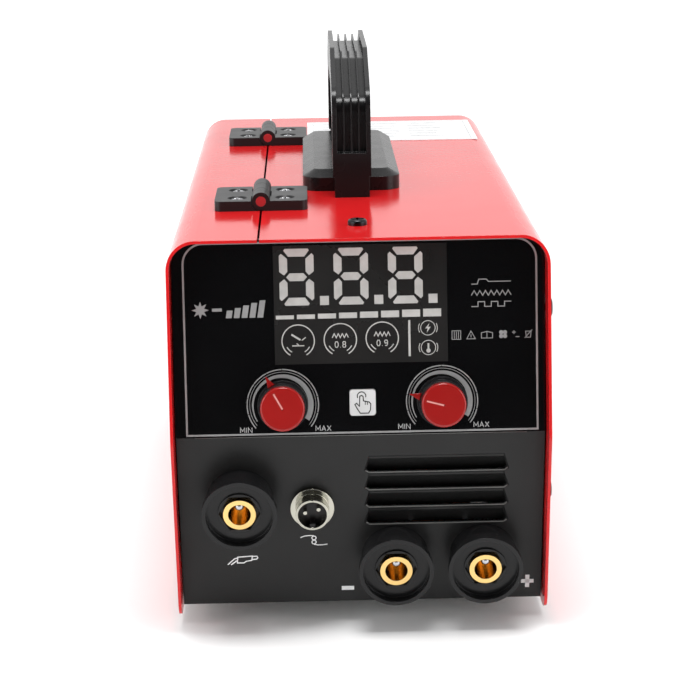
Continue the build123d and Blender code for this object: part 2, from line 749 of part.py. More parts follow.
def mode_button():
    cap = plate(control_plane, button_u, button_v, button_size, button_size, -sheet - 1.0,
                overlay_thickness + button_proud, 1.2)
    stem = plate(control_plane, button_u, button_v, 6, 6, board_front + 4.4, -sheet - 1.0)
    return cap + stem


def button_switch():
    body = plate(control_plane, button_u, button_v, 7.5, 7.5, board_front, board_front + 3.5)
    return body


# ---------------------------------------------------------------- sockets and connector
def socket_body(u, v):
    """Insulating collar with a proud rim around a sunken face, and its neck behind the panel."""
    h = socket_height
    body = disc(socket_plane, u, v, socket_barrel_radius, 0, h - 4.2)
    flare = Cone(socket_barrel_radius, socket_rim_radius, 1.6, align=BOTTOM)
    body += socket_plane.location * Pos(u, v, h - 5.8) * flare
    body += disc(socket_plane, u, v, socket_rim_radius, h - 4.2, h)
    body -= disc(socket_plane, u, v, socket_rim_radius - 1.6, h - socket_recess, h + 1)
    body += disc(socket_plane, u, v, 8.6, h - socket_recess, h - socket_recess + 0.8)
    body += disc(socket_plane, u, v, socket_barrel_radius - 2.6, -sheet - 9.0, 0)
    body -= hex_bar(socket_plane, u, v, 2 * socket_contact_radius + 1.4, h - socket_recess - 1.2, h + 1)
    body -= disc(socket_plane, u, v, socket_contact_radius, -40, h + 1)
    return body


def socket_contact(u, v):
    """Brass contact: bored tube with a keyway, stud and nut at the rear."""
    h = socket_height
    contact = disc(socket_plane, u, v, socket_contact_radius, -sheet - 16.0, h - 1.5)
    contact += hex_bar(socket_plane, u, v, 12, -sheet - 19.0, -sheet - 14.0)
    contact += disc(socket_plane, u, v, 4.0, -sheet - 27.0, -sheet - 16.0)
    contact -= disc(socket_plane, u, v, socket_bore_radius, h - 1.5 - socket_bore_length, h)
    key = plate(socket_plane, u, v + socket_bore_radius + 0.4, 2.6, 2.4, h - 12.5, h - 3.0)
    return contact - key


socket_bore_length = 22.0


def socket_nuts():
    nuts = []
    for name, u, v in socket_places:
        nut = hex_bar(socket_plane, u, v, socket_nut_flats, -sheet - 6.0, -sheet)
        nut = nut & disc(socket_plane, u, v, socket_nut_flats / 2 + 1.4, -sheet - 6.0, -sheet)
        nuts.append(nut - disc(socket_plane, u, v, socket_barrel_radius - 2.6, -sheet - 7.0, 0))
    return group(nuts)


def connector_shell():
    """Nickel-plated round connector: flange nut, barrel with a key groove, rear thread and nut."""
    u, v = connector_u, connector_v
    shell = disc(socket_plane, u, v, connector_flange_radius, 0, 2.4)
    shell += disc(socket_plane, u, v, connector_radius, -sheet - 8.0, connector_height)
    shell += hex_bar(socket_plane, u, v, 17, -sheet - 3.0, -sheet)
    shell -= disc(socket_plane, u, v, connector_radius - 0.9, -sheet - 10, connector_height + 1)
    shell -= plate(socket_plane, u, v + connector_radius, 1.0, 0.7, 2.4, connector_height + 1)
    return shell


def connector_insert():
    u, v = connector_u, connector_v
    insert = disc(socket_plane, u, v, connector_radius - 0.9, -sheet - 9.0, connector_height - 4.5)
    insert += plate(socket_plane, u, v - connector_radius + 1.7, 2.2, 1.6, 0, connector_height - 0.6)
    for du, dv in connector_pin_places:
        insert -= disc(socket_plane, u + du, v + dv, 0.8, -40, connector_height)
    return insert & disc(socket_plane, u, v, connector_radius - 0.9, -sheet - 9.0, connector_height)


connector_pin_places = ((-2.9, 0.4), (2.5, 1.8))


def connector_pins():
    u, v = connector_u, connector_v
    pins = []
    for du, dv in connector_pin_places:
        pins.append(disc(socket_plane, u + du, v + dv, 0.8, -sheet - 14.0, connector_height - 1.2))
    return group(pins)


# ---------------------------------------------------------------- rear fittings
def fan_frame():
    y0, y1 = rear_inner_y - fan_depth, rear_inner_y
    frame = plate(plane_y(fan_x, fan_z), 0, 0, fan_size, fan_size, y0, y1, 5)
    frame -= rod_y(fan_x, fan_z, rotor_radius + 1.0, y0 - 1, y1 + 1)
    hub = rod_y(fan_x, fan_z, 14.5, y0, y0 + 3)
    for turn in (45, 135, 225, 315):
        spoke = Pos(26, 0, y0) * Box(26, 3.6, 3, align=BOTTOM)
        hub += plane_y(fan_x, fan_z).location * Rot(0, 0, turn) * spoke
    frame += hub
    for dx in (-1, 1):
        for dz in (-1, 1):
            frame -= rod_y(fan_x + dx * fan_bolt, fan_z + dz * fan_bolt, 2.2, y0 - 1, y1 + 1)
    frame += rod_y(fan_x, fan_z, 1.5, y0, y1 - 6)
    return frame


def fan_rotor():
    """Hub with seven pitched blades, on a running fit over the fan's axle."""
    y0, y1 = rear_inner_y - fan_depth + 4.0, rear_inner_y - 3.0
    rotor = rod_y(fan_x, fan_z, 15.0, y0, y1)
    blade_middle = (y0 + y1) / 2
    for i in range(7):
        spin = plane_y(fan_x, fan_z).location * Rot(0, 0, i * 360 / 7)
        blade = Pos(25, 0, blade_middle) * Rot(38, 0, 0) * Box(22, 20, 1.4)
        rotor += (spin * blade) & rod_y(fan_x, fan_z, rotor_radius, y0, y1)
    return rotor - rod_y(fan_x, fan_z, 1.5 + shaft_clearance, y0 - 1, y1 - 2)


def fan_guard():
    """Guard: four rings on two crossing bars with bolt eyes, outside the rear panel."""
    wire = 1.8
    plane = plane_y(fan_x, fan_z)
    reach = fan_bolt * 2 ** 0.5
    guard = plate(plane, 0, 0, 0.5, 0.5, rear_panel_y, rear_panel_y + wire)
    for turn in (45, 135):
        bar = Pos(0, 0, rear_panel_y) * Box(2 * reach - 8.6, wire, wire, align=BOTTOM)
        guard += plane.location * Rot(0, 0, turn) * bar
    for radius in (9.0, 18.0, 27.0, 36.0):
        ring = Cylinder(radius + wire / 2, wire, align=BOTTOM) - Cylinder(radius - wire / 2, 3 * wire)
        guard += plane.location * Pos(0, 0, rear_panel_y + wire * 0.6) * ring
    for dx in (-1, 1):
        for dz in (-1, 1):
            eye = rod_y(fan_x + dx * fan_bolt, fan_z + dz * fan_bolt, 4.6, rear_panel_y, rear_panel_y + 1.8)
            guard += eye - rod_y(fan_x + dx * fan_bolt, fan_z + dz * fan_bolt, 2.2, rear_panel_y - 1,
                                 rear_panel_y + 3)
    return guard


def fan_screws():
    screws = []
    seat = Plane(origin=(0, rear_panel_y + 1.8, 0), x_dir=(-1, 0, 0), z_dir=(0, 1, 0))
    for dx in (-1, 1):
        for dz in (-1, 1):
            x, z = fan_x + dx * fan_bolt, fan_z + dz * fan_bolt
            screws.append(pan_head(seat, -x, z, 3.9, 2.4, 2.1, fan_depth + 6))
    return group(screws)


def switch_housing():
    y = rear_panel_y
    body = block(switch_x - switch_width / 2, switch_x + switch_width / 2, y, y + 2.2,
                 switch_z - switch_height / 2, switch_z + switch_height / 2)
    body = fillet(body.edges().filter_by(Axis.Y), 2.0)
    body += block(switch_x - switch_width / 2 + 2, switch_x + switch_width / 2 - 2, y - 20, y,
                  switch_z - switch_height / 2 + 2, switch_z + switch_height / 2 - 2)
    half_w, half_h = rocker_width / 2 + 0.4, rocker_height / 2 + 0.4
    body -= block(switch_x - half_w, switch_x + half_w, y - 15, y + 5, switch_z - half_h, switch_z + half_h)
    body += rod_x(y - 4.0, switch_z, 1.5, switch_x - half_w - 1, switch_x + half_w + 1)
    for dx in (-8, 0, 8):
        x = switch_x + dx
        body += block(x - 2.4, x + 2.4, y - 29, y - 19, switch_z - 0.4, switch_z + 0.4)
    return body


rocker_width = switch_width - 6.0
rocker_height = switch_height - 4.6


def power_rocker():
    """Rocker at rest in its off position, its lower half pressed in."""
    y = rear_panel_y
    half_h = rocker_height / 2 - 0.5
    points = [(y - 7.0, switch_z - 4.5), (y + 1.2, switch_z - half_h), (y + 3.4, switch_z - half_h + 0.6)]
    points += [(y + 1.9, switch_z), (y + 3.4, switch_z + half_h - 0.6), (y + 1.2, switch_z + half_h)]
    points += [(y - 7.0, switch_z + 4.5)]
    rocker = prism_x(points, switch_x - rocker_width / 2, switch_x + rocker_width / 2)
    rocker -= rod_x(y - 4.0, switch_z, 1.5 + shaft_clearance, switch_x - 30, switch_x + 30)
    pivot = Axis((switch_x, y - 4.0, switch_z), (1, 0, 0))
    return rocker.rotate(pivot, -rocker_tilt)


def cable_gland():
    """Mains inlet: clamping gland with its lock nut, and no cord in it."""
    face = plane_y(gland_x, gland_z)
    y = rear_panel_y
    gland = hex_bar(face, 0, 0, 2 * gland_thread + 5, y, y + 4.5)
    gland += rod_y(gland_x, gland_z, gland_thread + 1.2, y + 4.5, y + gland_reach - 2)
    gland += face.location * Pos(0, 0, y + gland_reach - 2) * Cone(gland_thread + 1.2, gland_thread - 1.5, 2,
                                                                     align=BOTTOM)
    gland += rod_y(gland_x, gland_z, gland_thread, y - 10, y)
    gland += hex_bar(face, 0, 0, 2 * gland_thread + 5, y - sheet - 4, y - sheet)
    return gland - rod_y(gland_x, gland_z, gland_bore_radius, y - 20, y + 20)


# ---------------------------------------------------------------- electronics bay
def main_board():
    board = block(divider_right + 4, inner_x - 5, -48, 118, floor_z + 8, floor_z + 9.6)
    for x in (divider_right + 14, inner_x - 10):
        for y in (-43, 112):
            board += rod_z(x, y, 3, floor_z, floor_z + 8)
    for i in range(4):
        x = divider_right + 8 + i * 9
        board += block(x, x + 6, -47, -38, floor_z + 9.6, floor_z + 20)
    return board


def heat_sinks():
    sinks = []
    for x in (divider_right + 14, inner_x - 42):
        base = block(x, x + 28, 36, 112, floor_z + 11, floor_z + 16)
        for i in range(7):
            fin_x = x + i * 4.3
            base += block(fin_x, fin_x + 1.8, 36, 112, floor_z + 16, floor_z + 46)
        for y in (42, 106):
            base += rod_z(x + 14, y, 2.5, floor_z + 9.6, floor_z + 11)
        sinks.append(base)
    return group(sinks)


def capacitors():
    cans = []
    for i in range(3):
        x = divider_right + 20 + i * 27
        can = rod_z(x, 19, 12.5, floor_z + 9.6, floor_z + 55)
        cans.append(can)
    return group(cans)


def transformer():
    """Ferrite core with a wound bobbin."""
    x0, y0, z0 = divider_right + 12, -30.0, floor_z + 9.6
    core = block(x0, x0 + 42, y0, y0 + 28, z0, z0 + 40)
    core -= block(x0 + 9, x0 + 17, y0 - 1, y0 + 29, z0 + 8, z0 + 32)
    core -= block(x0 + 25, x0 + 33, y0 - 1, y0 + 29, z0 + 8, z0 + 32)
    winding = block(x0 + 9.5, x0 + 32.5, y0 - 6, y0 + 34, z0 + 9, z0 + 31)
    return group([core, winding - core])


def output_choke():
    """Toroidal choke strapped to the tray behind the sockets."""
    place = Pos(27, -100, floor_z + 14)
    ring = place * (Cylinder(22, 20) - Cylinder(9, 24))
    ring = fillet(ring.edges().filter_by(GeomType.CIRCLE), 3)
    return ring + block(10, 44, -84, -80, floor_z, floor_z + 20)


def divider_panel():
    front = fold_y + divider_setback
    panel = block(divider_left, divider_right, front, rear_inner_y - 0.3, floor_z + sheet, panel_top - 1.5)
    panel += block(divider_left, divider_right + 10, front + 12, rear_inner_y - 40, floor_z, floor_z + sheet)
    panel -= rod_x(drive_roll_y, motor_z, motor_radius + 1.5, divider_left - 1, divider_right + 1)
    panel -= rod_x(spool_y, spool_z, 4.0, divider_left - 1, divider_right + 1)
    for i in range(5):
        panel -= block(divider_left - 1, divider_right + 1, 0 + i * 9, 4 + i * 9, 132, 150)
    return panel


# ---------------------------------------------------------------- wire feeder
wire_x = socket_places[0][1]
wire_z = fold_z + socket_places[0][2] * cos(tilt_down)
drive_z = wire_z - wire_gap / 2 - drive_roll_radius
roller_z = wire_z + wire_gap / 2 + pressure_roller_radius
plate_right = wire_x + 12.8
plate_left = plate_right - 4.0
motor_radius = 18.0
motor_z = drive_z + 40.0
arm_pivot_y = drive_roll_y + arm_pivot_reach
arm_pivot_z = roller_z + 6.0
arm_top = roller_z + pressure_roller_radius + 7.0
tension_x = wire_x - tensioner_offset
tension_y = drive_roll_y - tensioner_reach
tension_z = drive_z - 1.0
spool_z = floor_z + spool_lift + spool_radius
spool_right = divider_left - 7.0
spool_left = spool_right - spool_width
cheek = 2.8
roller_half = pressure_roller_width / 2


def feeder_plate():
    """Feeder body: plate, wire-line bridge for the guides, tensioner ears and spacers."""
    body = block(plate_left, plate_right, drive_roll_y - 45, drive_roll_y + 42, drive_z - 20, arm_top + 2)
    ears = block(tension_x - 5.2, plate_left, tension_y - 6, tension_y + 6, tension_z - 9, tension_z + 4.5)
    slot_z0, slot_z1 = tension_z - 5.5, tension_z + 6
    ears -= block(tension_x - 2.5, tension_x + 2.5, tension_y - 7, tension_y + 7, slot_z0, slot_z1)
    body += ears
    body -= rod_x(tension_y, tension_z, 2.0, tension_x - 20, tension_x + 4.4)
    for y0, y1 in guide_spans:
        body += block(wire_x - 5, plate_left, y0, y1, wire_z - 5, wire_z + 5)
        body -= rod_y(wire_x, wire_z, guide_radius, y0 - 1, y1 + 1)
    body -= rod_x(drive_roll_y, drive_z, 6.0, plate_left - 1, plate_right + 1)
    return body


guide_spans = ((drive_roll_y - 34.0, drive_roll_y - 20.0), (drive_roll_y + 20.0, drive_roll_y + 38.0))
guide_radius = 3.0


def wire_guides():
    """Brass inlet and outlet guides on the wire line."""
    outlet_end = fold_y + (fold_z - wire_z) * sin(tilt_down) + sheet + 30.0
    inlet = rod_y(wire_x, wire_z, guide_radius, guide_spans[1][0] - 6, guide_spans[1][1] + 6)
    outlet = rod_y(wire_x, wire_z, guide_radius, outlet_end, guide_spans[0][1] + 6)
    bore = rod_y(wire_x, wire_z, 1.0, outlet_end - 5, guide_spans[1][1] + 10)
    return group([inlet - bore, outlet - bore])


def feeder_gearbox():
    box = block(plate_right, divider_left, drive_roll_y - 22, drive_roll_y + 22, drive_z - 18, motor_z + 20)
    box = fillet(box.edges().filter_by(Axis.X), 5)
    box += rod_x(drive_roll_y, drive_z, 7.5, plate_right - 0.0, plate_right + 1)
    return box - rod_x(drive_roll_y, drive_z, 4.0 + shaft_clearance, plate_right - 1, divider_left - 2)


def feeder_motor():
    motor = rod_x(drive_roll_y, motor_z, motor_radius, divider_left, divider_left + 58)
    motor = fillet(motor.edges().sort_by(Axis.X)[-1], 2)
    motor += rod_x(drive_roll_y, motor_z, 6, divider_left + 58, divider_left + 61)
    for dy in (-9, 9):
        y = drive_roll_y + dy
        motor += block(divider_left + 58, divider_left + 65, y - 0.4, y + 0.4, motor_z - 2.4, motor_z + 2.4)
    return motor


def drive_roll():
    """Grooved roll with its output shaft and retaining screw."""
    half = drive_roll_width / 2
    roll = rod_x(drive_roll_y, drive_z, drive_roll_radius, wire_x - half, wire_x + half)
    groove = Plane(origin=(wire_x, drive_roll_y, drive_z), x_dir=(0, 1, 0), z_dir=(1, 0, 0))
    for dx in (-2.5, 2.5):
        roll -= groove.location * Pos(0, 0, dx) * Torus(drive_roll_radius + 0.2, 0.7)
    roll -= rod_x(drive_roll_y, drive_z, 4.0, wire_x - half - 1, wire_x + half + 1)
    return roll


def drive_shaft():
    half = drive_roll_width / 2
    shaft = rod_x(drive_roll_y, drive_z, 4.0, wire_x - half, divider_left - 3)
    shaft += rod_x(drive_roll_y, drive_z, 7.0, wire_x - half - 3, wire_x - half)
    slot_x0, slot_x1 = wire_x - half - 3.5, wire_x - half - 1.8
    shaft -= block(slot_x0, slot_x1, drive_roll_y - 8, drive_roll_y + 8, drive_z - 0.7, drive_z + 0.7)
    return shaft


def pressure_arm():
    """Channel-shaped arm over the pressure roller, forked at the front for the tensioner."""
    inside = wire_x + roller_half + 0.6
    outside = wire_x - roller_half - 0.6
    front = tension_y - 7.0
    lean = [(arm_pivot_y + 6, arm_pivot_z - 6), (arm_pivot_y + 6, arm_pivot_z + 6), (arm_pivot_y, arm_top)]
    lean += [(front, arm_top), (front, arm_top - 4), (drive_roll_y - 12, arm_top - 6)]
    lean += [(drive_roll_y - 6, roller_z - 5), (drive_roll_y + 6, roller_z - 5)]
    lean += [(arm_pivot_y - 8, arm_pivot_z - 6)]
    arm = prism_x(lean, inside, inside + cheek) + prism_x(lean, outside - cheek, outside)
    arm += block(outside - cheek, inside + cheek, front, arm_pivot_y, arm_top - 4, arm_top)
    arm += block(tension_x - 6.5, outside, front, front + 14, arm_top - 4, arm_top)
    arm -= block(tension_x - 3.0, tension_x + 3.0, front - 1, tension_y + 3.2, arm_top - 5, arm_top + 1)
    arm -= rod_x(arm_pivot_y, arm_pivot_z, 3.0 + shaft_clearance, outside - 10, inside + 10)
    arm -= rod_x(drive_roll_y, roller_z, 2.5, outside - 10, inside + 10)
    return arm


def arm_pivot():
    inside = wire_x + roller_half + 0.6 + cheek
    outside = wire_x - roller_half - 0.6 - cheek
    pin = rod_x(arm_pivot_y, arm_pivot_z, 3.0, outside - 0.6, plate_left)
    pin += rod_x(arm_pivot_y, arm_pivot_z, 4.6, outside - 2.0, outside - 0.6)
    return pin + rod_x(arm_pivot_y, arm_pivot_z, 4.6, inside + 0.4, plate_left)


def roller_axle():
    inside = wire_x + roller_half + 0.6 + cheek
    outside = wire_x - roller_half - 0.6 - cheek
    return rod_x(drive_roll_y, roller_z, 2.5, outside, inside)


def pressure_roller():
    x0, x1 = wire_x - roller_half, wire_x + roller_half
    roller = rod_x(drive_roll_y, roller_z, pressure_roller_radius, x0, x1)
    return roller - rod_x(drive_roll_y, roller_z, 2.5 + shaft_clearance, wire_x - 20, wire_x + 20)


def tip_forward(shape):
    """Turn a piece built upright on the tensioner's pivot to its released rest angle."""
    return shape.rotate(Axis((tension_x, tension_y, tension_z), (1, 0, 0)), tensioner_rest)


spring_low = arm_top + 1.0
spring_high = spring_low + 8.0
tension_knob_top = spring_high + 12.0


def tensioner_stud():
    stud = rod_z(tension_x, tension_y, 2.4, tension_z, tension_knob_top - 2)
    stud += rod_x(tension_y, tension_z, 4.2, tension_x - 2.2, tension_x + 2.2)
    stud += rod_z(tension_x, tension_y, 4.6, spring_low, spring_low + 1.0)
    stud -= rod_x(tension_y, tension_z, 2.0 + shaft_clearance, tension_x - 5, tension_x + 5)
    return tip_forward(stud)


def tensioner_pin():
    return rod_x(tension_y, tension_z, 2.0, tension_x - 5.2, tension_x + 4.4)


def tensioner_spring():
    """Coil spring over the stud, drawn as close turns on one sleeve."""
    turns = 5
    low, high = spring_low + 1.0, spring_high
    pitch = (high - low) / turns
    hole = rod_z(tension_x, tension_y, 2.9, low - 1, high + 1)
    spring = rod_z(tension_x, tension_y, 3.6, low, high)
    for i in range(turns):
        ring = Pos(tension_x, tension_y, low + (i + 0.5) * pitch) * Torus(3.8, pitch * 0.42)
        spring += ring
    return tip_forward(spring - hole)


def tension_knob():
    knob = rod_z(tension_x, tension_y, 6.6, spring_high + 0.2, tension_knob_top)
    knob = fillet(knob.edges().sort_by(Axis.Z)[-1], 1.2)
    for i in range(12):
        flute = Pos(tension_x, tension_y, spring_high) * Rot(0, 0, i * 30) * Pos(7.0, 0, 0)
        knob -= flute * Cylinder(0.9, 14, align=BOTTOM)
    knob -= rod_z(tension_x, tension_y, 2.4 + shaft_clearance, spring_high - 1, tension_knob_top - 2 + 0.3)
    return tip_forward(knob)


# ---------------------------------------------------------------- wire spool
def spool_shaft():
    """Brake hub on the divider: flanged boss, shaft and knurled nut."""
    shaft = rod_x(spool_y, spool_z, 20.0, spool_right + 0.4, divider_left)
    shaft += rod_x(spool_y, spool_z, spool_shaft_radius, spool_left + 8.4, divider_left)
    shaft += rod_x(spool_y, spool_z, 3.9, divider_left, divider_right + 8)
    shaft += rod_x(spool_y, spool_z, 5.0, spool_left + 0.5, spool_left + 8.4)
    shaft += hex_bar(Plane(origin=(0, spool_y, spool_z), x_dir=(0, 1, 0), z_dir=(1, 0, 0)), 0, 0, 13,
                     divider_right, divider_right + 5)
    return shaft


def spool_nut():
    nut = rod_x(spool_y, spool_z, 13.0, spool_left + 1.0, spool_left + 8.0)
    face = Plane(origin=(0, spool_y, spool_z), x_dir=(0, 1, 0), z_dir=(1, 0, 0))
    for i in range(8):
        turn = face.location * Rot(0, 0, i * 45)
        nut -= turn * Pos(14.2, 0, spool_left) * Cylinder(2.6, 12, align=BOTTOM)
    return nut - rod_x(spool_y, spool_z, 5.0, spool_left, spool_left + 10)


def wire_spool():
    """Plastic spool: two flanges, hollow drum and a bored hub."""
    spool = rod_x(spool_y, spool_z, 25.0, spool_left, spool_right)
    for x in (spool_left, spool_right - 2.5):
        spool += rod_x(spool_y, spool_z, spool_radius, x, x + 2.5)
    spool -= rod_x(spool_y, spool_z, 23.0, spool_left - 1, spool_left + 8.7)
    spool -= (rod_x(spool_y, spool_z, 23.0, spool_left + 11.0, spool_right - 2.5)
              - rod_x(spool_y, spool_z, 11.0, spool_left + 10, spool_right))
    ring = Plane(origin=(0, spool_y, spool_z), x_dir=(0, 1, 0), z_dir=(1, 0, 0))
    for i in range(3):
        window = Pos(17, 0, spool_left) * Cylinder(3.5, 80, align=BOTTOM)
        spool -= ring.location * Rot(0, 0, i * 120) * window
    return spool - rod_x(spool_y, spool_z, spool_bore_radius, spool_left - 5, spool_right + 5)


def wire_winding():
    coil = rod_x(spool_y, spool_z, 41.0, spool_left + 2.5, spool_right - 2.5)
    return coil - rod_x(spool_y, spool_z, 25.0, spool_left, spool_right)


# ---------------------------------------------------------------- door latch
latch_plane = Plane(origin=(-wall_x, 0, 0), x_dir=(0, -1, 0), z_dir=(-1, 0, 0))
latch_z = floor_z + tray_flange + 22.0


def latch_housing():
    """Guide riveted inside the door, around the sliding bolt."""
    x0 = -inner_x
    z0, z1 = latch_z - 19.5, latch_z + 12
    body = block(x0, x0 + 8.0, latch_y - 14, latch_y + 14, z0, z1)
    y0, y1 = latch_y - latch_width / 2 - 0.4, latch_y + latch_width / 2 + 0.4
    body -= block(x0 - 1, x0 + 3.8, y0, y1, z0 + 4, z1 - 4)
    body -= block(x0 + 3.7, x0 + 7.3, y0, y1, z0 - 1, z1 - 4)
    return body


def latch_rivets():
    rivets = []
    for dy in (-11, 11):
        rivet = rod_x(latch_y + dy, latch_z + 8, 1.6, -wall_x, -inner_x)
        rivet += rod_x(latch_y + dy, latch_z + 8, 3.0, -wall_x - 1.2, -wall_x)
        rivets.append(rivet)
    return group(rivets)


def latch_slider():
    """Bolt with a thumb pad outside the door; it drops into the tray's strike to lock."""
    x = latch_tongue_x
    y0, y1 = latch_y - latch_width / 2, latch_y + latch_width / 2
    bolt = block(x - 1.5, x + 1.5, y0, y1, latch_z - 18, latch_z + 6)
    stem = rod_x(latch_y, latch_z, latch_stem_radius, -wall_x - 0.4, x - 1.5)
    pad = plate(latch_plane, -latch_y, latch_z, 16, 12, 0.4, 2.2, 3)
    pad = fillet(pad.edges().group_by(Axis.X)[0], 0.8)
    return bolt + stem + pad


# ---------------------------------------------------------------- label
def rating_label():
    front = handle_y + handle_length / 2 + label_gap
    return block(label_left, label_right, front, rear_y - label_inset, top_z, top_z + label_thickness)


# ---------------------------------------------------------------- all nodes
def casing_nodes():
    return {
        "base_tray": base_tray(),
        "front_panel": front_panel(),
        "rear_panel": rear_panel(),
        "divider_panel": divider_panel(),
        "main_cover": main_cover(),
        "rubber_feet": rubber_feet(),
        "case_fasteners": group([foot_screws(), handle_screws(), fan_screws(), ground_screw()]),
        "cover_screws": cover_screws(),
        "rating_label": rating_label(),
        "carry_handle": carry_handle(),
        "handle_base": base_solid(),
        "hinge_cover_leaves": hinge_leaves(1),
        "hinge_pins": hinge_pins(),
        "hinge_cover_screws": hinge_screws(1),
    }


def front_nodes():
    nodes = {
        "control_overlay": control_overlay(),
        "display_window": display_window(),
        "control_board": group([control_board(), display_module(), button_switch()]),
        "potentiometers": potentiometers(),
        "mode_button": mode_button(),
        "socket_nuts": socket_nuts(),
        "connector_shell": connector_shell(),
        "connector_insert": connector_insert(),
        "connector_pins": connector_pins(),
    }
    for name, u, v in socket_places:
        nodes[name + "_socket_body"] = socket_body(u, v)
        nodes[name + "_socket_contact"] = socket_contact(u, v)
    for name, (u, v, angle) in zip(("left", "right"), knob_places):
        nodes[name + "_knob_skirt"] = group([knob_skirt(u, v), spindle(u, v)])
        nodes[name + "_knob_cap"] = group([knob_cap(u, v, angle), knob_pointer(u, v, angle)])
    return nodes


def rear_and_inner_nodes():
    return {
        "fan_frame": fan_frame(),
        "fan_guard": fan_guard(),
        "fan_rotor": fan_rotor(),
        "switch_housing": switch_housing(),
        "power_rocker": power_rocker(),
        "cable_gland": cable_gland(),
        "main_board": group([main_board(), capacitors()]),
        "heat_sinks": heat_sinks(),
        "transformer": transformer(),
        "output_choke": output_choke(),
    }


def wire_bay_nodes():
    return {
        "feeder_plate": group([feeder_plate(), arm_pivot(), tensioner_pin()]),
        "wire_guides": wire_guides(),
        "feeder_gearmotor": group([feeder_gearbox(), feeder_motor()]),
        "drive_roll": group([drive_roll(), drive_shaft()]),
        "pressure_arm": group([pressure_arm(), roller_axle()]),
        "pressure_roller": pressure_roller(),
        "tensioner_stud": tensioner_stud(),
        "tensioner_spring": tensioner_spring(),
        "tension_knob": tension_knob(),
        "spool_hub": group([spool_shaft(), spool_nut()]),
        "wire_spool": wire_spool(),
        "wire_winding": wire_winding(),
        "side_door": side_door(),
        "hinge_door_leaves": hinge_leaves(-1),
        "hinge_door_screws": hinge_screws(-1),
        "latch_housing": group([latch_housing(), latch_rivets()]),
        "latch_slider": latch_slider(),
    }


def write_parts():
    os.makedirs("parts", exist_ok=True)
    nodes = {**casing_nodes(), **front_nodes(), **rear_and_inner_nodes(), **wire_bay_nodes()}
    for name, shape in nodes.items():
        export_step(shape, f"parts/{name}.step")


write_parts()
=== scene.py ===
import json
import math

import bmesh
import bpy
from mathutils import Matrix, Vector


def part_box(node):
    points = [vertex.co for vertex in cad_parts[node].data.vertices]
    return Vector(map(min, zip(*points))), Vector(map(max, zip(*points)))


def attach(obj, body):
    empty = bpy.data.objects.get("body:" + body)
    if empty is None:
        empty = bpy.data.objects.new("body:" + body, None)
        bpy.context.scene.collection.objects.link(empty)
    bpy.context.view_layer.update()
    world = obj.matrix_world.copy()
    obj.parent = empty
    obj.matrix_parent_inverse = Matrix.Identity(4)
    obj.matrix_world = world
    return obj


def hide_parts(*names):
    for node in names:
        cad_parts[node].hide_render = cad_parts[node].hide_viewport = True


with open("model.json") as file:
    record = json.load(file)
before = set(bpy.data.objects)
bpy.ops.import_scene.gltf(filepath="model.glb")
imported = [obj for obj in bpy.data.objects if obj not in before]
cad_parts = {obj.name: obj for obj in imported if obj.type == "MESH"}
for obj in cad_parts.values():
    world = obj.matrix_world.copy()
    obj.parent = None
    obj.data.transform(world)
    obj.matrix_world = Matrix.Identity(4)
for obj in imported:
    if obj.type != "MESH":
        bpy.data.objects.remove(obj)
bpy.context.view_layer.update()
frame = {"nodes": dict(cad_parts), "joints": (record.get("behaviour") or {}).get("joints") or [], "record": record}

# Looks of a compact inverter welder: paints, plastics and metals for every CAD node, the prints on
# its panels, wound wire, a real coil spring, and a plain studio. Lengths are millimetres times MM.

MM = 0.001
nodes = frame["nodes"]
joints = {joint["name"]: joint for joint in frame["joints"]}
mounts = {mount["name"]: mount for mount in frame["record"]["mounts"]}

# Places on the two front faces; u runs to the right, v up the face from the fold between them.
FILM = 0.5                     # thickness of the overlay and the window
PRINT = 0.05                   # thickness of an ink layer
FULL_TURN = 359.9              # degrees of an arc that all but closes
WINDOW_BOTTOM = 28.65
KNOB_PLACES = {"left_knob": (-30.7, 12.6, -29.0), "right_knob": (32.4, 12.9, -75.2)}     # u, v, pointer
KNOB_HEIGHT = 14.0
MARKER_GROOVE = 0.22           # depth of the groove in a knob's cap
SOCKET_PLACES = {"torch": (-48.8, -28.0), "negative": (13.4, -55.0), "positive": (49.3, -55.0)}
PIN_RADIUS = 1.95
PIN_RISE, PIN_LIFT = 3.2, 11.0              # above the bore's middle, and out from the panel
LOUVER_COUNT = 4
LOUVER_U, LOUVER_TOP = 30.2, -10.1
LOUVER_HEIGHT, LOUVER_PITCH = 6.5, 7.83
BUTTON_PLACE = (0.9, 13.0)
BUTTON_TOP = 1.6


# ------------------------------------------------------------------------------ panel frames
class Panel:
    """A flat face of the casing, with u to the right, v up the face and lift out of it."""

    def __init__(self, origin, normal):
        right = Vector((1, 0, 0))
        up = normal.cross(right)
        self.matrix = Matrix((right, up, normal)).transposed().to_4x4()
        self.matrix.translation = origin

    def point(self, u, v, lift):
        return self.matrix @ (Vector((u, v, lift)) * MM)


def make_panels():
    """The control face and the socket face, which meet at the fold."""
    normal = Vector(joints["left_knob_turn"]["axis"]).normalized()
    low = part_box("display_window")[0]
    rise = WINDOW_BOTTOM * MM
    fold_y = low.y - rise * normal.z - FILM * MM * normal.y
    fold = Vector((0, fold_y, low.z + rise * normal.y))
    return Panel(fold, normal), Panel(fold, Vector(mounts["torch_socket"]["axis"]).normalized())


control, sockets = make_panels()


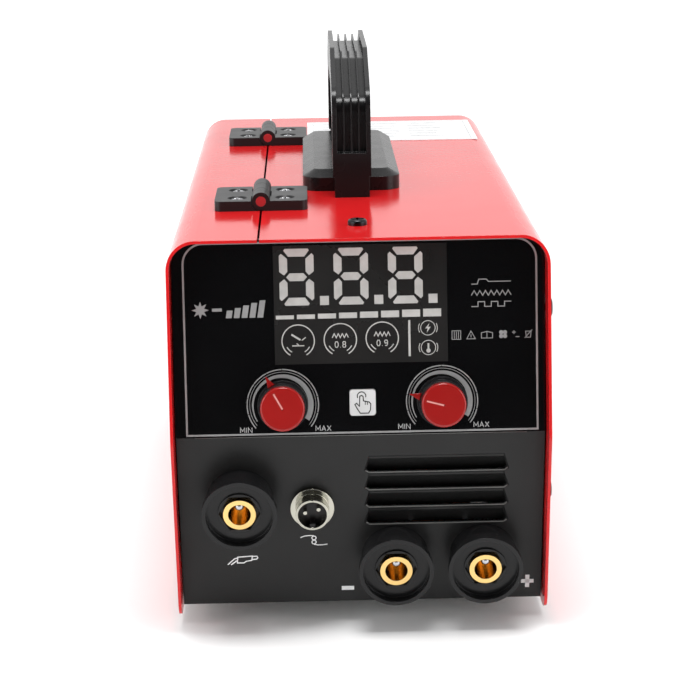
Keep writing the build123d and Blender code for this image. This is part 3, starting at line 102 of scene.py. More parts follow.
# ------------------------------------------------------------------------------ materials
class Finish:
    """One procedural material, built up node by node on the object's own coordinates."""

    def __init__(self, name, roughness=0.5, metallic=0.0):
        self.material = bpy.data.materials.new(name)
        self.material.use_nodes = True
        self.tree = self.material.node_tree
        self.shader = self.tree.nodes["Principled BSDF"]
        self.place = self.node("ShaderNodeTexCoord").outputs["Object"]
        self.set(Roughness=roughness, Metallic=metallic)
        self.rounded = None

    def node(self, kind, **settings):
        made = self.tree.nodes.new(kind)
        for key, value in settings.items():
            setattr(made, key, value)
        return made

    def set(self, **values):
        for key, value in values.items():
            self.shader.inputs[key.replace("_", " ")].default_value = value
        return self

    def link(self, output, target):
        self.tree.links.new(output, target)

    def stretched(self, scale):
        """Object coordinates scaled by a different amount along each axis."""
        mapping = self.node("ShaderNodeMapping")
        mapping.inputs["Scale"].default_value = scale
        self.link(self.place, mapping.inputs["Vector"])
        return mapping.outputs["Vector"]

    def noise(self, scale, detail=3.0, stretch=None):
        made = self.node("ShaderNodeTexNoise")
        made.inputs["Scale"].default_value = scale
        made.inputs["Detail"].default_value = detail
        self.link(self.stretched(stretch) if stretch else self.place, made.inputs["Vector"])
        return made.outputs["Fac"]

    def cells(self, scale):
        made = self.node("ShaderNodeTexVoronoi")
        made.inputs["Scale"].default_value = scale
        self.link(self.place, made.inputs["Vector"])
        return made.outputs["Distance"]

    def remap(self, value, low, high, start=0.3, end=0.7):
        made = self.node("ShaderNodeMapRange")
        made.inputs["From Min"].default_value = start
        made.inputs["From Max"].default_value = end
        made.inputs["To Min"].default_value = low
        made.inputs["To Max"].default_value = high
        self.link(value, made.inputs["Value"])
        return made.outputs["Result"]

    def mix(self, factor, first, second):
        """Colour between two colours or colour outputs."""
        made = self.node("ShaderNodeMix", data_type="RGBA")
        self.link(factor, made.inputs["Factor"])
        for value, target in ((first, made.inputs["A"]), (second, made.inputs["B"])):
            if isinstance(value, tuple):
                target.default_value = (*value, 1)
            else:
                self.link(value, target)
        return made.outputs["Result"]

    def round_edges(self, radius):
        """Shade sharp edges as small rounds, and keep the mask of where they are."""
        bevel = self.node("ShaderNodeBevel", samples=6)
        bevel.inputs["Radius"].default_value = radius * MM
        geometry = self.node("ShaderNodeNewGeometry")
        dot = self.node("ShaderNodeVectorMath", operation="DOT_PRODUCT")
        self.link(bevel.outputs["Normal"], dot.inputs[0])
        self.link(geometry.outputs["Normal"], dot.inputs[1])
        self.rounded = bevel.outputs["Normal"]
        self.link(self.rounded, self.shader.inputs["Normal"])
        return self.remap(dot.outputs["Value"], 1.0, 0.0, 0.72, 0.97)

    def colour(self, output):
        self.link(output, self.shader.inputs["Base Color"])
        return self

    def roughness(self, output):
        self.link(output, self.shader.inputs["Roughness"])
        return self

    def bump(self, output, depth, strength=1.0):
        made = self.node("ShaderNodeBump")
        made.inputs["Distance"].default_value = depth * MM
        made.inputs["Strength"].default_value = strength
        self.link(output, made.inputs["Height"])
        if self.rounded:
            self.link(self.rounded, made.inputs["Normal"])
        self.link(made.outputs["Normal"], self.shader.inputs["Normal"])
        return self


def shade(colour, amount):
    return tuple(min(channel * amount, 1.0) for channel in colour)


def paint(name, colour, gloss, peel, worn, index=1.42):
    """Sprayed or powder-coated sheet steel: soft mottling, orange peel, edges worn a little."""
    look = Finish(name)
    edge = look.round_edges(0.45)
    body = look.mix(look.remap(look.noise(14.0), 0, 1), shade(colour, 0.93), shade(colour, 1.05))
    rub = look.node("ShaderNodeMath", operation="MULTIPLY")
    look.link(edge, rub.inputs[0])
    look.link(look.remap(look.noise(160.0, 5.0), 0, 0.65, 0.42, 0.66), rub.inputs[1])
    look.colour(look.mix(rub.outputs["Value"], body, worn))
    look.roughness(look.remap(look.noise(45.0, 5.0), gloss * 0.85, gloss * 1.2))
    look.bump(look.noise(peel, 2.0), 0.035)
    return look.set(IOR=index).material


def plastic(name, colour, gloss, grain=1800.0, depth=0.015, coat=0.0, worn=1.6):
    """Moulded plastic: fine spark-eroded grain, uneven gloss, paler worn edges."""
    look = Finish(name)
    edge = look.round_edges(0.3)
    body = look.mix(look.remap(look.noise(30.0), 0, 1), shade(colour, 0.88), shade(colour, 1.1))
    look.colour(look.mix(look.remap(edge, 0, 0.5, 0, 1), body, shade(colour, worn)))
    look.roughness(look.remap(look.noise(90.0, 6.0), gloss * 0.94, gloss * 1.08))
    look.bump(look.cells(grain), depth)
    return look.set(Coat_Weight=coat, Coat_Roughness=0.08, IOR=1.36).material


def metal(name, colour, rough, brush=(900.0, 900.0, 40.0), depth=0.012, tarnish=0.8):
    """Bare or plated metal: brushed or turned marks, cloudy tarnish, bright edges."""
    look = Finish(name, metallic=1.0)
    edge = look.round_edges(0.25)
    cloud = look.remap(look.noise(70.0, 6.0), 0, 1)
    body = look.mix(cloud, shade(colour, tarnish), colour)
    look.colour(look.mix(look.remap(edge, 0, 0.6, 0, 1), body, shade(colour, 1.15)))
    marks = look.noise(1.0, 3.0, stretch=brush)
    look.roughness(look.remap(marks, rough * 0.7, rough * 1.4))
    look.bump(marks, depth)
    return look.material


def film(name, colour, gloss, dust=0.35):
    """Printed polycarbonate film: smooth, with faint haze and a few fine scratches."""
    look = Finish(name)
    haze = look.noise(25.0, 6.0)
    look.colour(look.mix(look.remap(haze, 0, 1), colour, shade(colour, 1.0 + dust)))
    scratch = look.noise(1.0, 2.0, stretch=(60.0, 2400.0, 900.0))
    look.roughness(look.remap(haze, gloss * 0.8, gloss * 1.25))
    look.bump(scratch, 0.004)
    return look.set(IOR=1.45).material


def ink(name, colour, rough=0.45):
    """Screen-printed ink: slightly uneven coverage with a fine mesh texture."""
    look = Finish(name)
    look.colour(look.mix(look.remap(look.noise(300.0, 4.0), 0, 1), shade(colour, 0.86), colour))
    look.roughness(look.remap(look.noise(120.0), rough * 0.85, rough * 1.15))
    look.bump(look.cells(5000.0), 0.01)
    return look.material


def rubber(name, colour):
    look = Finish(name)
    dust = look.remap(look.noise(60.0, 6.0), 0, 1)
    look.colour(look.mix(dust, colour, shade(colour, 1.9)))
    look.roughness(look.remap(look.noise(40.0), 0.7, 0.92))
    look.bump(look.noise(1500.0, 4.0), 0.06)
    return look.material


def board(name):
    """Solder-masked circuit board with faint copper tracks under the mask."""
    look = Finish(name, roughness=0.35)
    brick = look.node("ShaderNodeTexBrick")
    brick.inputs["Scale"].default_value = 170.0
    brick.inputs["Mortar Size"].default_value = 0.03
    brick.inputs["Color1"].default_value = (0.012, 0.16, 0.06, 1)
    brick.inputs["Color2"].default_value = (0.01, 0.12, 0.045, 1)
    brick.inputs["Mortar"].default_value = (0.04, 0.3, 0.11, 1)
    look.link(look.place, brick.inputs["Vector"])
    speck = look.remap(look.noise(260.0, 5.0), 0, 1, 0.55, 0.75)
    look.colour(look.mix(speck, brick.outputs["Color"], (0.3, 0.32, 0.3)))
    look.roughness(look.remap(look.noise(80.0), 0.25, 0.45))
    return look.bump(brick.outputs["Fac"], 0.03).material


def wound(name, colour, rough):
    """Drawn wire: bright copper-washed or enamelled, with dark streaks along it."""
    look = Finish(name, metallic=1.0)
    streak = look.noise(1.0, 4.0, stretch=(900.0, 60.0, 60.0))
    look.colour(look.mix(look.remap(streak, 0, 1), shade(colour, 0.6), colour))
    look.roughness(look.remap(look.noise(400.0, 3.0), rough * 0.75, rough * 1.3))
    return look.bump(streak, 0.01).material


def make_looks():
    """Every finish by the record's slot name."""
    black = (0.016, 0.016, 0.018)
    steel = (0.62, 0.63, 0.65)
    looks = {
        "red_paint": paint("gloss_red", (0.64, 0.013, 0.015), 0.14, 420.0, (0.1, 0.008, 0.01)),
        "black_paint": paint("satin_black", (0.01, 0.01, 0.01), 0.34, 900.0, (0.03, 0.03, 0.03), 1.36),
        "zinc_steel": metal("zinc_plate", (0.6, 0.61, 0.6), 0.38, (120.0, 120.0, 120.0), tarnish=0.9),
        "black_screws": metal("black_oxide", (0.035, 0.035, 0.038), 0.3),
        "hinge_screw_steel": metal("bright_screw", (0.42, 0.42, 0.44), 0.24),
        "foot_rubber": rubber("rubber_black", (0.02, 0.02, 0.02)),
        "label_white": ink("label_paper", (0.86, 0.87, 0.88), 0.3),
        "handle_plastic": plastic("handle_nylon", (0.009, 0.009, 0.0095), 0.27, worn=1.8),
        "hinge_plastic": plastic("hinge_nylon", (0.014, 0.014, 0.015), 0.38, worn=1.8),
        "red_pin": plastic("pin_red", (0.42, 0.03, 0.035), 0.4),
        "overlay_film": film("overlay_gloss", (0.0022, 0.0022, 0.0025), 0.09),
        "window_film": film("window_smoke", (0.012, 0.0113, 0.011), 0.25, 0.2),
        "circuit_board": board("green_board"),
        "pot_metal": metal("pot_steel", steel, 0.3),
        "button_white": plastic("button_cap", (0.66, 0.66, 0.66), 0.35, worn=1.1),
        "nut_steel": metal("nut_zinc", steel, 0.28),
        "nickel": metal("nickel_plate", (0.52, 0.51, 0.44), 0.12, (60.0, 60.0, 60.0), depth=0.004),
        "insert_black": plastic("insert_phenolic", (0.012, 0.01, 0.01), 0.3),
        "socket_plastic": plastic("socket_nylon", (0.009, 0.009, 0.0095), 0.22, worn=1.8),
        "socket_brass": metal("turned_brass", (0.92, 0.62, 0.24), 0.16, (60.0, 60.0, 60.0), tarnish=0.86),
        "knob_black": plastic("knob_skirt", (0.012, 0.012, 0.013), 0.28, worn=2.0),
        "knob_red": plastic("knob_cap_red", (0.31, 0.009, 0.008), 0.2, 2600.0, 0.006, 0.3, 1.15),
        "fan_plastic": plastic("fan_black", (0.018, 0.018, 0.02), 0.38),
        "guard_wire": metal("guard_chrome", (0.7, 0.71, 0.73), 0.2),
        "switch_plastic": plastic("switch_black", (0.015, 0.015, 0.016), 0.32),
        "rocker_red": plastic("rocker_gloss", (0.55, 0.02, 0.016), 0.2, coat=0.4, worn=1.2),
        "gland_nylon": plastic("gland_black", (0.02, 0.02, 0.022), 0.45),
        "sink_aluminium": metal("extruded_alloy", (0.78, 0.79, 0.81), 0.34, (900.0, 30.0, 900.0)),
        "ferrite_copper": wound("enamelled_copper", (0.72, 0.25, 0.09), 0.28),
        "feeder_plastic": plastic("feeder_nylon", (0.022, 0.024, 0.028), 0.42, worn=1.9),
        "guide_brass": metal("guide_brass", (0.82, 0.58, 0.27), 0.24, (900.0, 40.0, 900.0)),
        "gearmotor_metal": metal("motor_can", (0.5, 0.51, 0.53), 0.32, (40.0, 700.0, 700.0)),
        "hard_steel": metal("hardened_steel", (0.56, 0.57, 0.6), 0.22, (60.0, 900.0, 900.0)),
        "arm_plastic": plastic("arm_nylon", (0.05, 0.054, 0.06), 0.4, worn=1.6),
        "tension_knob_plastic": plastic("tension_red", (0.5, 0.02, 0.02), 0.34, worn=1.2),
        "spool_plastic": plastic("spool_abs", (0.03, 0.032, 0.036), 0.3, worn=1.7),
        "welding_wire": wound("copper_washed", (0.86, 0.44, 0.24), 0.24),
    }
    return looks


looks = make_looks()
silver_ink = ink("silver_ink", (0.30, 0.30, 0.30))
grey_ink = ink("grey_ink", (0.42, 0.42, 0.42))
white_ink = ink("white_ink", (0.88, 0.88, 0.88))
black_ink = ink("black_ink", (0.008, 0.008, 0.008))
segment_ink = ink("segment_grey", (0.53, 0.52, 0.50), 0.35)
# Pale grey paint for the beads on the fold and louver rims: a painted highlight of light caught on those edges.
highlight_bead_paint = paint("painted_highlight_paint", (0.13, 0.13, 0.125), 0.3, 900.0, (0.2, 0.2, 0.19))
marker_ink = ink("marker_pink", (0.74, 0.30, 0.27))


def slot_of_nodes():
    """The record's material slot of each CAD node."""
    return {part["node"]: part["material_slot"] for part in frame["record"]["subparts"]}


def dress_cad_nodes():
    """Give each CAD node its slot's finish."""
    slots = slot_of_nodes()
    for name, body in nodes.items():
        body.data.materials.clear()
        body.data.materials.append(looks[slots[name]])


dress_cad_nodes()


# ------------------------------------------------------------------------------ prints
class Print:
    """A thin raised print on a panel, gathered shape by shape into one closed mesh."""

    def __init__(self, name, panel, lift, body, material, slot="label_white", thickness=PRINT):
        self.name = name
        self.panel = panel
        self.body = body
        self.material = material
        self.slot = slot
        self.low = lift
        self.high = lift + thickness
        self.mesh = bmesh.new()

    def corner(self, point, lift):
        return self.mesh.verts.new(self.panel.point(point[0], point[1], lift))

    def polygon(self, points):
        """Filled outline, given counter-clockwise."""
        low = [self.corner(point, self.low) for point in points]
        high = [self.corner(point, self.high) for point in points]
        self.mesh.faces.new(high)
        self.mesh.faces.new(low[::-1])
        for i in range(len(points)):
            j = (i + 1) % len(points)
            self.mesh.faces.new((low[i], low[j], high[j], high[i]))

    def band(self, left, right, closed=False):
        """Strip between two lines with as many points each; left is on the left of its way."""
        stations = []
        for a, b in zip(left, right):
            stations.append([self.corner(a, self.low), self.corner(b, self.low), self.corner(b, self.high),
                             self.corner(a, self.high)])
        count = len(stations)
        for i in range(count if closed else count - 1):
            near, far = stations[i], stations[(i + 1) % count]
            for k in range(4):
                m = (k + 1) % 4
                self.mesh.faces.new((near[k], near[m], far[m], far[k]))
        if not closed:
            self.mesh.faces.new(stations[0][::-1])
            self.mesh.faces.new(stations[-1])

    def box(self, u, v, width, height):
        """Rectangle about its middle."""
        w, h = width / 2, height / 2
        self.polygon([(u - w, v - h), (u + w, v - h), (u + w, v + h), (u - w, v + h)])

    def stroke(self, points, width, closed=False):
        """Line of even width through the points, with mitred corners."""
        count = len(points)
        left, right = [], []
        for i, point in enumerate(points):
            before = points[i - 1] if (i or closed) else None
            after = points[(i + 1) % count] if (i < count - 1 or closed) else None
            ways = []
            for a, b in ((before, point), (point, after)):
                if a is not None and b is not None:
                    way = Vector((b[0] - a[0], b[1] - a[1]))
                    ways.append(way.normalized())
            mean = sum(ways, Vector((0, 0))).normalized()
            stretch = 1.0 / max(mean.dot(ways[0]), 0.45)
            side = Vector((-mean.y, mean.x)) * (width / 2 * stretch)
            left.append((point[0] + side.x, point[1] + side.y))
            right.append((point[0] - side.x, point[1] - side.y))
        self.band(left, right, closed)

    def arc(self, u, v, radius, start, end, width, inner=None, steps=48):
        """Arc clockwise from start to end, in degrees from straight up; inner is its last width."""
        left, right = [], []
        for i in range(steps + 1):
            share = i / steps
            turn = math.radians(start + (end - start) * share)
            wide = width if inner is None else width + (inner - width) * share
            for line, r in ((left, radius), (right, radius - wide)):
                line.append((u + r * math.sin(turn), v + r * math.cos(turn)))
        self.band(left, right)

    def disc(self, u, v, radius, steps=24):
        turns = [2 * math.pi * i / steps for i in range(steps)]
        self.polygon([(u + radius * math.cos(t), v + radius * math.sin(t)) for t in turns])

    def letters(self, text, u, v, height, weight):
        """Plain stroked capitals and figures, centred on a point."""
        widths = [height * LETTER_WIDTHS[letter] for letter in text]
        gap = 0.3 * height
        left = u - (sum(widths) + gap * (len(text) - 1)) / 2
        for letter, width in zip(text, widths):
            for line, closed in LETTERS[letter]:
                points = [(left + x * width, v + (y - 0.5) * height) for x, y in line]
                self.stroke(points, weight, closed)
            left += width + gap

    def build(self):
        bmesh.ops.recalc_face_normals(self.mesh, faces=self.mesh.faces)
        return place_mesh(self.name, self.mesh, self.body, self.material)


def place_mesh(name, mesh, body, material, smooth=False):
    """A bmesh as a piece that rides on a body."""
    data = bpy.data.meshes.new(name)
    mesh.to_mesh(data)
    mesh.free()
    data.materials.append(material)
    if smooth:
        data.shade_smooth()
    piece = bpy.data.objects.new(name, data)
    bpy.context.scene.collection.objects.link(piece)
    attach(piece, body)
    return piece


# Letter widths as shares of the height, then each letter's strokes in its own unit box.
LETTER_WIDTHS = {"M": 0.86, "I": 0.1, "N": 0.74, "A": 0.8, "X": 0.74,
                 "0": 0.56, "8": 0.56, "9": 0.56, ".": 0.2}
LETTERS = {
    "M": (([(0, 0), (0, 1), (0.5, 0.3), (1, 1), (1, 0)], False),),
    "I": (([(0.5, 0), (0.5, 1)], False),),
    "N": (([(0, 0), (0, 1), (1, 0), (1, 1)], False),),
    "A": (([(0, 0), (0.5, 1), (1, 0)], False), ([(0.2, 0.33), (0.8, 0.33)], False)),
    "X": (([(0, 0), (1, 1)], False), ([(0, 1), (1, 0)], False)),
    "0": (([(0.25, 0), (0, 0.3), (0, 0.7), (0.25, 1), (0.75, 1), (1, 0.7), (1, 0.3), (0.75, 0)], True),),
    "8": (([(0.2, 0), (0, 0.25), (0.2, 0.52), (0.8, 0.52), (1, 0.25), (0.8, 0)], True),
          ([(0.2, 0.52), (0.05, 0.77), (0.2, 1), (0.8, 1), (0.95, 0.77), (0.8, 0.52)], True)),
    "9": (([(0.95, 0.5), (0.2, 0.45), (0, 0.72), (0.2, 1), (0.8, 1), (1, 0.7), (0.95, 0.3), (0.7, 0),
            (0.15, 0.05)], False),),
    ".": (([(0.35, 0), (0.65, 0)], False),),
}


def rounded_frame(left, right, low, high, corner, steps=10):
    """Outline of a rectangle whose two upper corners are round."""
    points = [(left, low), (right, low)]
    for centre, start in (((right - corner, high - corner), 0), ((left + corner, high - corner), 90)):
        for i in range(steps + 1):
            turn = math.radians(start + 90 * i / steps)
            points.append((centre[0] + corner * math.cos(turn), centre[1] + corner * math.sin(turn)))
    return points


def dial_scale(art, u, v):
    """Ring broken by ticks, a hairline ring and a band that widens towards the maximum."""
    span, tick = 130.0, 1.2
    parts = 10
    for i in range(parts):
        start = -span + 2 * span * i / parts
        art.arc(u, v, 14.35, start, start + 2 * span / parts - tick, 0.45, steps=8)
    art.arc(u, v, 13.2, -span + 2, span - 2, 0.2)
    art.arc(u, v, 12.2, -span + 8, span - 8, 0.35, inner=2.5)


def control_prints():
    """Silver border, dial scales, their end words, and plain pictograms on the overlay."""
    art = Print("panel_border", control, FILM, "chassis", silver_ink)
    art.stroke(rounded_frame(-68.85, 70.25, 1.0, 76.9, 8.0), 0.75, closed=True)
    for u, v, _ in KNOB_PLACES.values():
        dial_scale(art, u, v)
    art.build()

    words = Print("dial_words", control, FILM, "chassis", grey_ink)
    height, weight = 2.0, 0.3
    for word, u, v in (("MIN", -45.4, 2.75), ("MAX", -14.8, 2.95), ("MIN", 17.3, 3.0), ("MAX", 47.9, 3.2)):
        words.letters(word, u, v, height, weight)
    words.build()

    marks = Print("panel_pictograms", control, FILM, "chassis", silver_ink)
    spark_row(marks, -51.2, 50.8)
    wave_rows(marks, 44.5, (60.0, 55.5, 51.1), 15.7)
    icon_row(marks, 39.0)
    marks.build()


def spark_row(art, u, v):
    """Arc spark, a long dash and rising slanted bars, in place of a name."""
    spikes = 8
    outline = []
    for i in range(2 * spikes):
        reach = 3.4 if i % 2 == 0 else 1.7
        turn = math.pi * i / spikes
        outline.append((u - 11.2 + reach * math.cos(turn), v + reach * math.sin(turn)))
    art.polygon(outline)
    art.box(u - 4.6, v, 3.8, 1.2)
    for i in range(5):
        x, high = u - 1.2 + i * 3.1, 3.0 + i * 0.95
        base = v - 3.3
        lean = high * 0.16
        art.polygon([(x, base), (x + 2.3, base), (x + 2.3 + lean, base + high), (x + lean, base + high)])


def wave_rows(art, u, levels, length):
    """Three plain wave forms: a starting peak, a sawtooth and a square wave."""
    high, weight = 1.9, 0.36
    peak, saw, square = levels
    art.stroke([(u, peak - high / 2), (u + 2.4, peak - high / 2), (u + 3.0, peak + high / 2),
                (u + 6.0, peak + high / 2), (u + 6.8, peak), (u + length, peak)], weight)
    teeth = 7
    art.stroke([(u + length * i / (2 * teeth), saw + (high / 2 if i % 2 else -high / 2))
                for i in range(2 * teeth + 1)], weight)
    steps = 6
    points = []
    for i in range(steps):
        x0, x1 = u + length * i / steps, u + length * (i + 1) / steps
        level = square + (high / 2 if i % 2 else -high / 2)
        points += [(x0 + 0.01, level), (x1 - 0.01, level)]
    art.stroke(points, weight)


def icon_row(art, v):
    """Plain pictograms: grid, triangle, open book, fan, poles and a crossed box."""
    weight = 0.28
    art.stroke([(36.7, v - 1.7), (40.1, v - 1.7), (40.1, v + 1.7), (36.7, v + 1.7)], weight, closed=True)
    for du in (-0.8, 0, 0.8):
        art.box(38.4 + du, v, 0.25, 2.9)
    art.stroke([(42.5, v - 1.6), (45.9, v - 1.6), (44.2, v + 1.5)], weight, closed=True)
    art.box(44.2, v - 0.4, 0.3, 1.2)
    book = [(48.3, v - 1.4), (48.3, v + 0.7), (50.5, v + 1.2), (52.7, v + 0.7), (52.7, v - 1.4)]
    art.stroke(book, weight, closed=True)
    art.box(50.5, v - 0.1, 0.3, 2.2)
    for i in range(4):
        turn = math.radians(45 + 90 * i)
        art.disc(56.9 + 1.05 * math.cos(turn), v + 1.05 * math.sin(turn), 0.85, 14)
    art.box(61.2, v + 0.7, 1.5, 0.3)
    art.box(61.2, v + 0.7 - 0.01, 0.3, 1.5)
    art.box(62.6, v - 1.1, 1.5, 0.3)
    art.stroke([(65.8, v + 1.0), (66.1, v - 1.4), (67.7, v - 1.4), (68.0, v + 1.0)], weight, closed=True)
    art.stroke([(65.4, v - 1.7), (68.4, v + 1.6)], weight)


def segment_outlines():
    """Width of a figure 8 and the outlines of its seven segments, in its own box."""
    w, h, t = 13.6, 22.4, 3.1      # width, height, thickness of a segment
    middle = h / 2
    top = [(2.3, h), (1.8, h - 0.7), (3.6, h - t), (w - 3.6, h - t), (w - 1.8, h - 0.7), (w - 2.3, h)]
    upper = [(0, h - 2.7), (0, middle + 2.2), (1.9, middle + 0.75), (t + 0.1, middle + 2.2),
             (t + 0.1, h - 4.0), (0.8, h - 1.9)]
    centre = [(2.7, middle), (4.1, middle - t / 2), (w - 4.1, middle - t / 2), (w - 2.7, middle),
              (w - 4.1, middle + t / 2), (4.1, middle + t / 2)]

    def flipped(points):
        return [(x, h - y) for x, y in reversed(points)]

    def mirrored(points):
        return [(w - x, y) for x, y in reversed(points)]

    return w, [top, flipped(top), centre, upper, flipped(upper), mirrored(upper), mirrored(flipped(upper))]


def window_prints():
    """Unlit segments of the display: three figures, dots, the bar graph, mode rings and lamps."""
    art = Print("display_segments", control, FILM, "chassis", segment_ink, "window_film")
    width, outlines = segment_outlines()
    pitch, first, base = 21.4, -24.2, 51.95
    for i in range(3):
        u0 = first + i * pitch - width / 2
        for outline in outlines:
            art.polygon([(u0 + x, base + y) for x, y in outline])
        art.box(-13.4 + i * pitch, 53.75, 3.5, 3.6)
    bars, step = 8, 8.3
    for i in range(bars):
        high = 1.5 + 1.6 * i / (bars - 1)
        art.box(-29.15 + i * step, 46.6 + high / 2, 7.1, high)
    art.box(19.85, 38.15, 0.85, 14.3)
    art.build()
    rings = Print("mode_rings", control, FILM, "chassis", segment_ink, "window_film")
    for i, (u, v) in enumerate(((-24.1, 37.9), (-7.45, 38.1), (9.1, 38.4))):
        rings.arc(u, v, 6.6, -150, 150, 0.42)
        for side in (-1, 1):
            rings.arc(u, v, 5.2, side * 118, side * 150, 0.36, steps=8)
        mode_glyph(rings, i, u, v)
    for u, v, glyph in ((27.2, 42.1, "bolt"), (27.3, 34.3, "heat")):
        rings.arc(u, v, 3.0, 0, FULL_TURN, 0.28)
        for side in (-1, 1):
            rings.arc(u, v, 3.85, side * 62, side * 118, 0.28, steps=10)
        lamp_glyph(rings, glyph, u, v)
    rings.build()


def mode_glyph(art, index, u, v):
    """Stick electrode for the first mode, wire and its thickness for the others."""
    if index == 0:
        art.stroke([(u - 2.6, v + 2.6), (u + 0.9, v + 0.4)], 0.7)
        art.stroke([(u + 1.4, v + 0.2), (u + 3.0, v + 1.4)], 0.35)
        art.stroke([(u - 2.4, v - 1.9), (u + 2.4, v - 1.9)], 0.4)
        art.stroke([(u - 0.6, v - 1.0), (u + 0.2, v - 1.6)], 0.35)
        return
    turns = 4
    art.stroke([(u - 3.2 + 6.4 * i / (2 * turns), v + 1.6 + (0.8 if i % 2 else -0.8))
                for i in range(2 * turns + 1)], 0.35)
    art.letters("0.8" if index == 1 else "0.9", u, v - 1.9, 2.2, 0.32)


def lamp_glyph(art, glyph, u, v):
    if glyph == "bolt":
        art.polygon([(u + 0.6, v + 1.9), (u - 1.1, v - 0.2), (u - 0.1, v - 0.2), (u - 0.5, v - 1.9),
                     (u + 1.1, v + 0.4), (u + 0.1, v + 0.4)])
        return
    art.box(u, v + 0.5, 0.7, 2.4)
    art.disc(u, v - 1.2, 0.85, 16)


def button_print():
    """Black outline of a pressing hand on the white key."""
    u, v = BUTTON_PLACE
    hand = [(-1.1, 2.6), (-0.3, 2.9), (0.2, 2.4), (0.3, 0.7), (2.6, 0.2), (3.2, -0.6), (3.0, -2.9),
            (2.3, -4.2), (-1.0, -4.2), (-2.2, -2.4), (-3.1, -0.7), (-2.4, -0.2), (-1.3, -1.4)]
    art = Print("button_hand", control, BUTTON_TOP, "mode_key", black_ink, "button_white")
    art.stroke([(u + x, v + y) for x, y in hand], 0.42, closed=True)
    art.arc(u - 0.4, v + 2.6, 1.9, -115, 105, 0.4, steps=14)
    for x in (1.0, 1.9):
        art.stroke([(u + x, v - 0.9), (u + x, v + 0.5)], 0.3)
    art.build()


def socket_prints():
    """Plus, minus, torch and wire-roller signs beside the sockets."""
    art = Print("socket_signs", sockets, 0, "chassis", white_ink)
    art.box(-6.0, -69.8, 5.1, 1.8)
    art.box(67.7, -68.4, 5.2, 1.7)
    art.box(67.7, -68.4, 1.7, 5.8)
    torch_sign(art, -48.6, -55.4)
    roller_sign(art, -19.5, -47.1)
    art.build()


def torch_sign(art, u, v):
    """A welding torch: grip, nozzle and the lead that leaves it."""
    weight, lead = 0.45, 0.5
    art.stroke([(u - 2.3, v - 1.6), (u + 0.4, v - 1.6), (u + 1.3, v - 0.9), (u + 3.6, v - 0.5),
                (u + 3.9, v + 1.5), (u - 2.1, v + 1.1)], weight, closed=True)
    art.stroke([(u + 3.9, v - 0.1), (u + 5.6, v), (u + 6.1, v + 0.7), (u + 5.7, v + 1.4),
                (u + 3.9, v + 1.3)], weight)
    art.stroke([(u - 2.4, v + 0.6), (u - 3.3, v + 0.4), (u - 6.2, v - 2.3)], lead)
    art.stroke([(u - 2.4, v - 0.5), (u - 4.9, v - 2.4)], lead)


def roller_sign(art, u, v):
    """Two feed rollers with the wire that runs between them."""
    weight = 0.4
    for dv in (-0.95, 0.95):
        art.arc(u, v + dv, 1.05, 0, FULL_TURN, weight, steps=20)
    art.stroke([(u - 5.5, v + 1.2), (u - 3.8, v + 1.9), (u - 1.8, v + 2.1), (u, v + 2.0)], weight)
    art.stroke([(u, v - 2.0), (u + 1.6, v - 2.3), (u + 3.6, v - 2.3), (u + 5.4, v - 2.0)], weight)


def knob_markers():
    """Pale line set in the groove of each knob's cap."""
    for name, (u, v, angle) in KNOB_PLACES.items():
        floor = KNOB_HEIGHT - MARKER_GROOVE
        art = Print(name + "_marker", control, floor, name, marker_ink, "knob_red", thickness=0.18)
        turn = math.radians(angle)
        way = Vector((math.sin(turn), math.cos(turn)))
        near, far, width = 0.05, 6.95, 0.62
        art.stroke([(u + way.x * r, v + way.y * r) for r in (near, far)], width)
        art.build()


def label_print():
    """Blank table of grey rules and bars on the rating label, with no wording."""
    low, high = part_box("rating_label")
    top = Panel(Vector((low.x, low.y, high.z)), Vector((0, 0, 1)))
    wide, deep = (high.x - low.x) / MM, (high.y - low.y) / MM
    art = Print("label_rules", top, 0, "chassis", grey_ink)
    edge, rows = 3.0, 7
    right, back = wide - edge, deep - edge
    art.stroke([(edge, edge), (right, edge), (right, back), (edge, back)], 0.3, closed=True)
    for i in range(1, rows):
        level = edge + (deep - 2 * edge) * i / rows
        art.box(wide / 2, level, wide - 2 * edge - 0.4, 0.22)
        for k, share in enumerate((0.14, 0.4, 0.66)):
            length = wide * (0.16 + 0.02 * ((i + 2 * k) % 3))
            art.box(wide * share + length / 2 - 4, level + 3.0, length, 1.1)
    art.build()


control_prints()
window_prints()
label_print()
button_print()
socket_prints()
knob_markers()


# ------------------------------------------------------------------------------ wound pieces
def sweep(name, points, radius, body, slot, look=None, sides=8):
    """Round wire along a line of points, with closed ends."""
    mesh = bmesh.new()
    rings = []
    side = None
    for i, point in enumerate(points):
        way = (points[min(i + 1, len(points) - 1)] - points[max(i - 1, 0)]).normalized()
        side = way.orthogonal() if side is None else side - way * side.dot(way)
        side.normalize()
        across = way.cross(side)
        ring = []
        for k in range(sides):
            turn = 2 * math.pi * k / sides
            ring.append(mesh.verts.new(point + (side * math.cos(turn) + across * math.sin(turn)) * radius))
        rings.append(ring)
    for near, far in zip(rings, rings[1:]):
        for k in range(sides):
            m = (k + 1) % sides
            mesh.faces.new((near[k], near[m], far[m], far[k]))
    mesh.faces.new(rings[0][::-1])
    mesh.faces.new(rings[-1])
    return place_mesh(name, mesh, body, look or looks[slot], smooth=True)


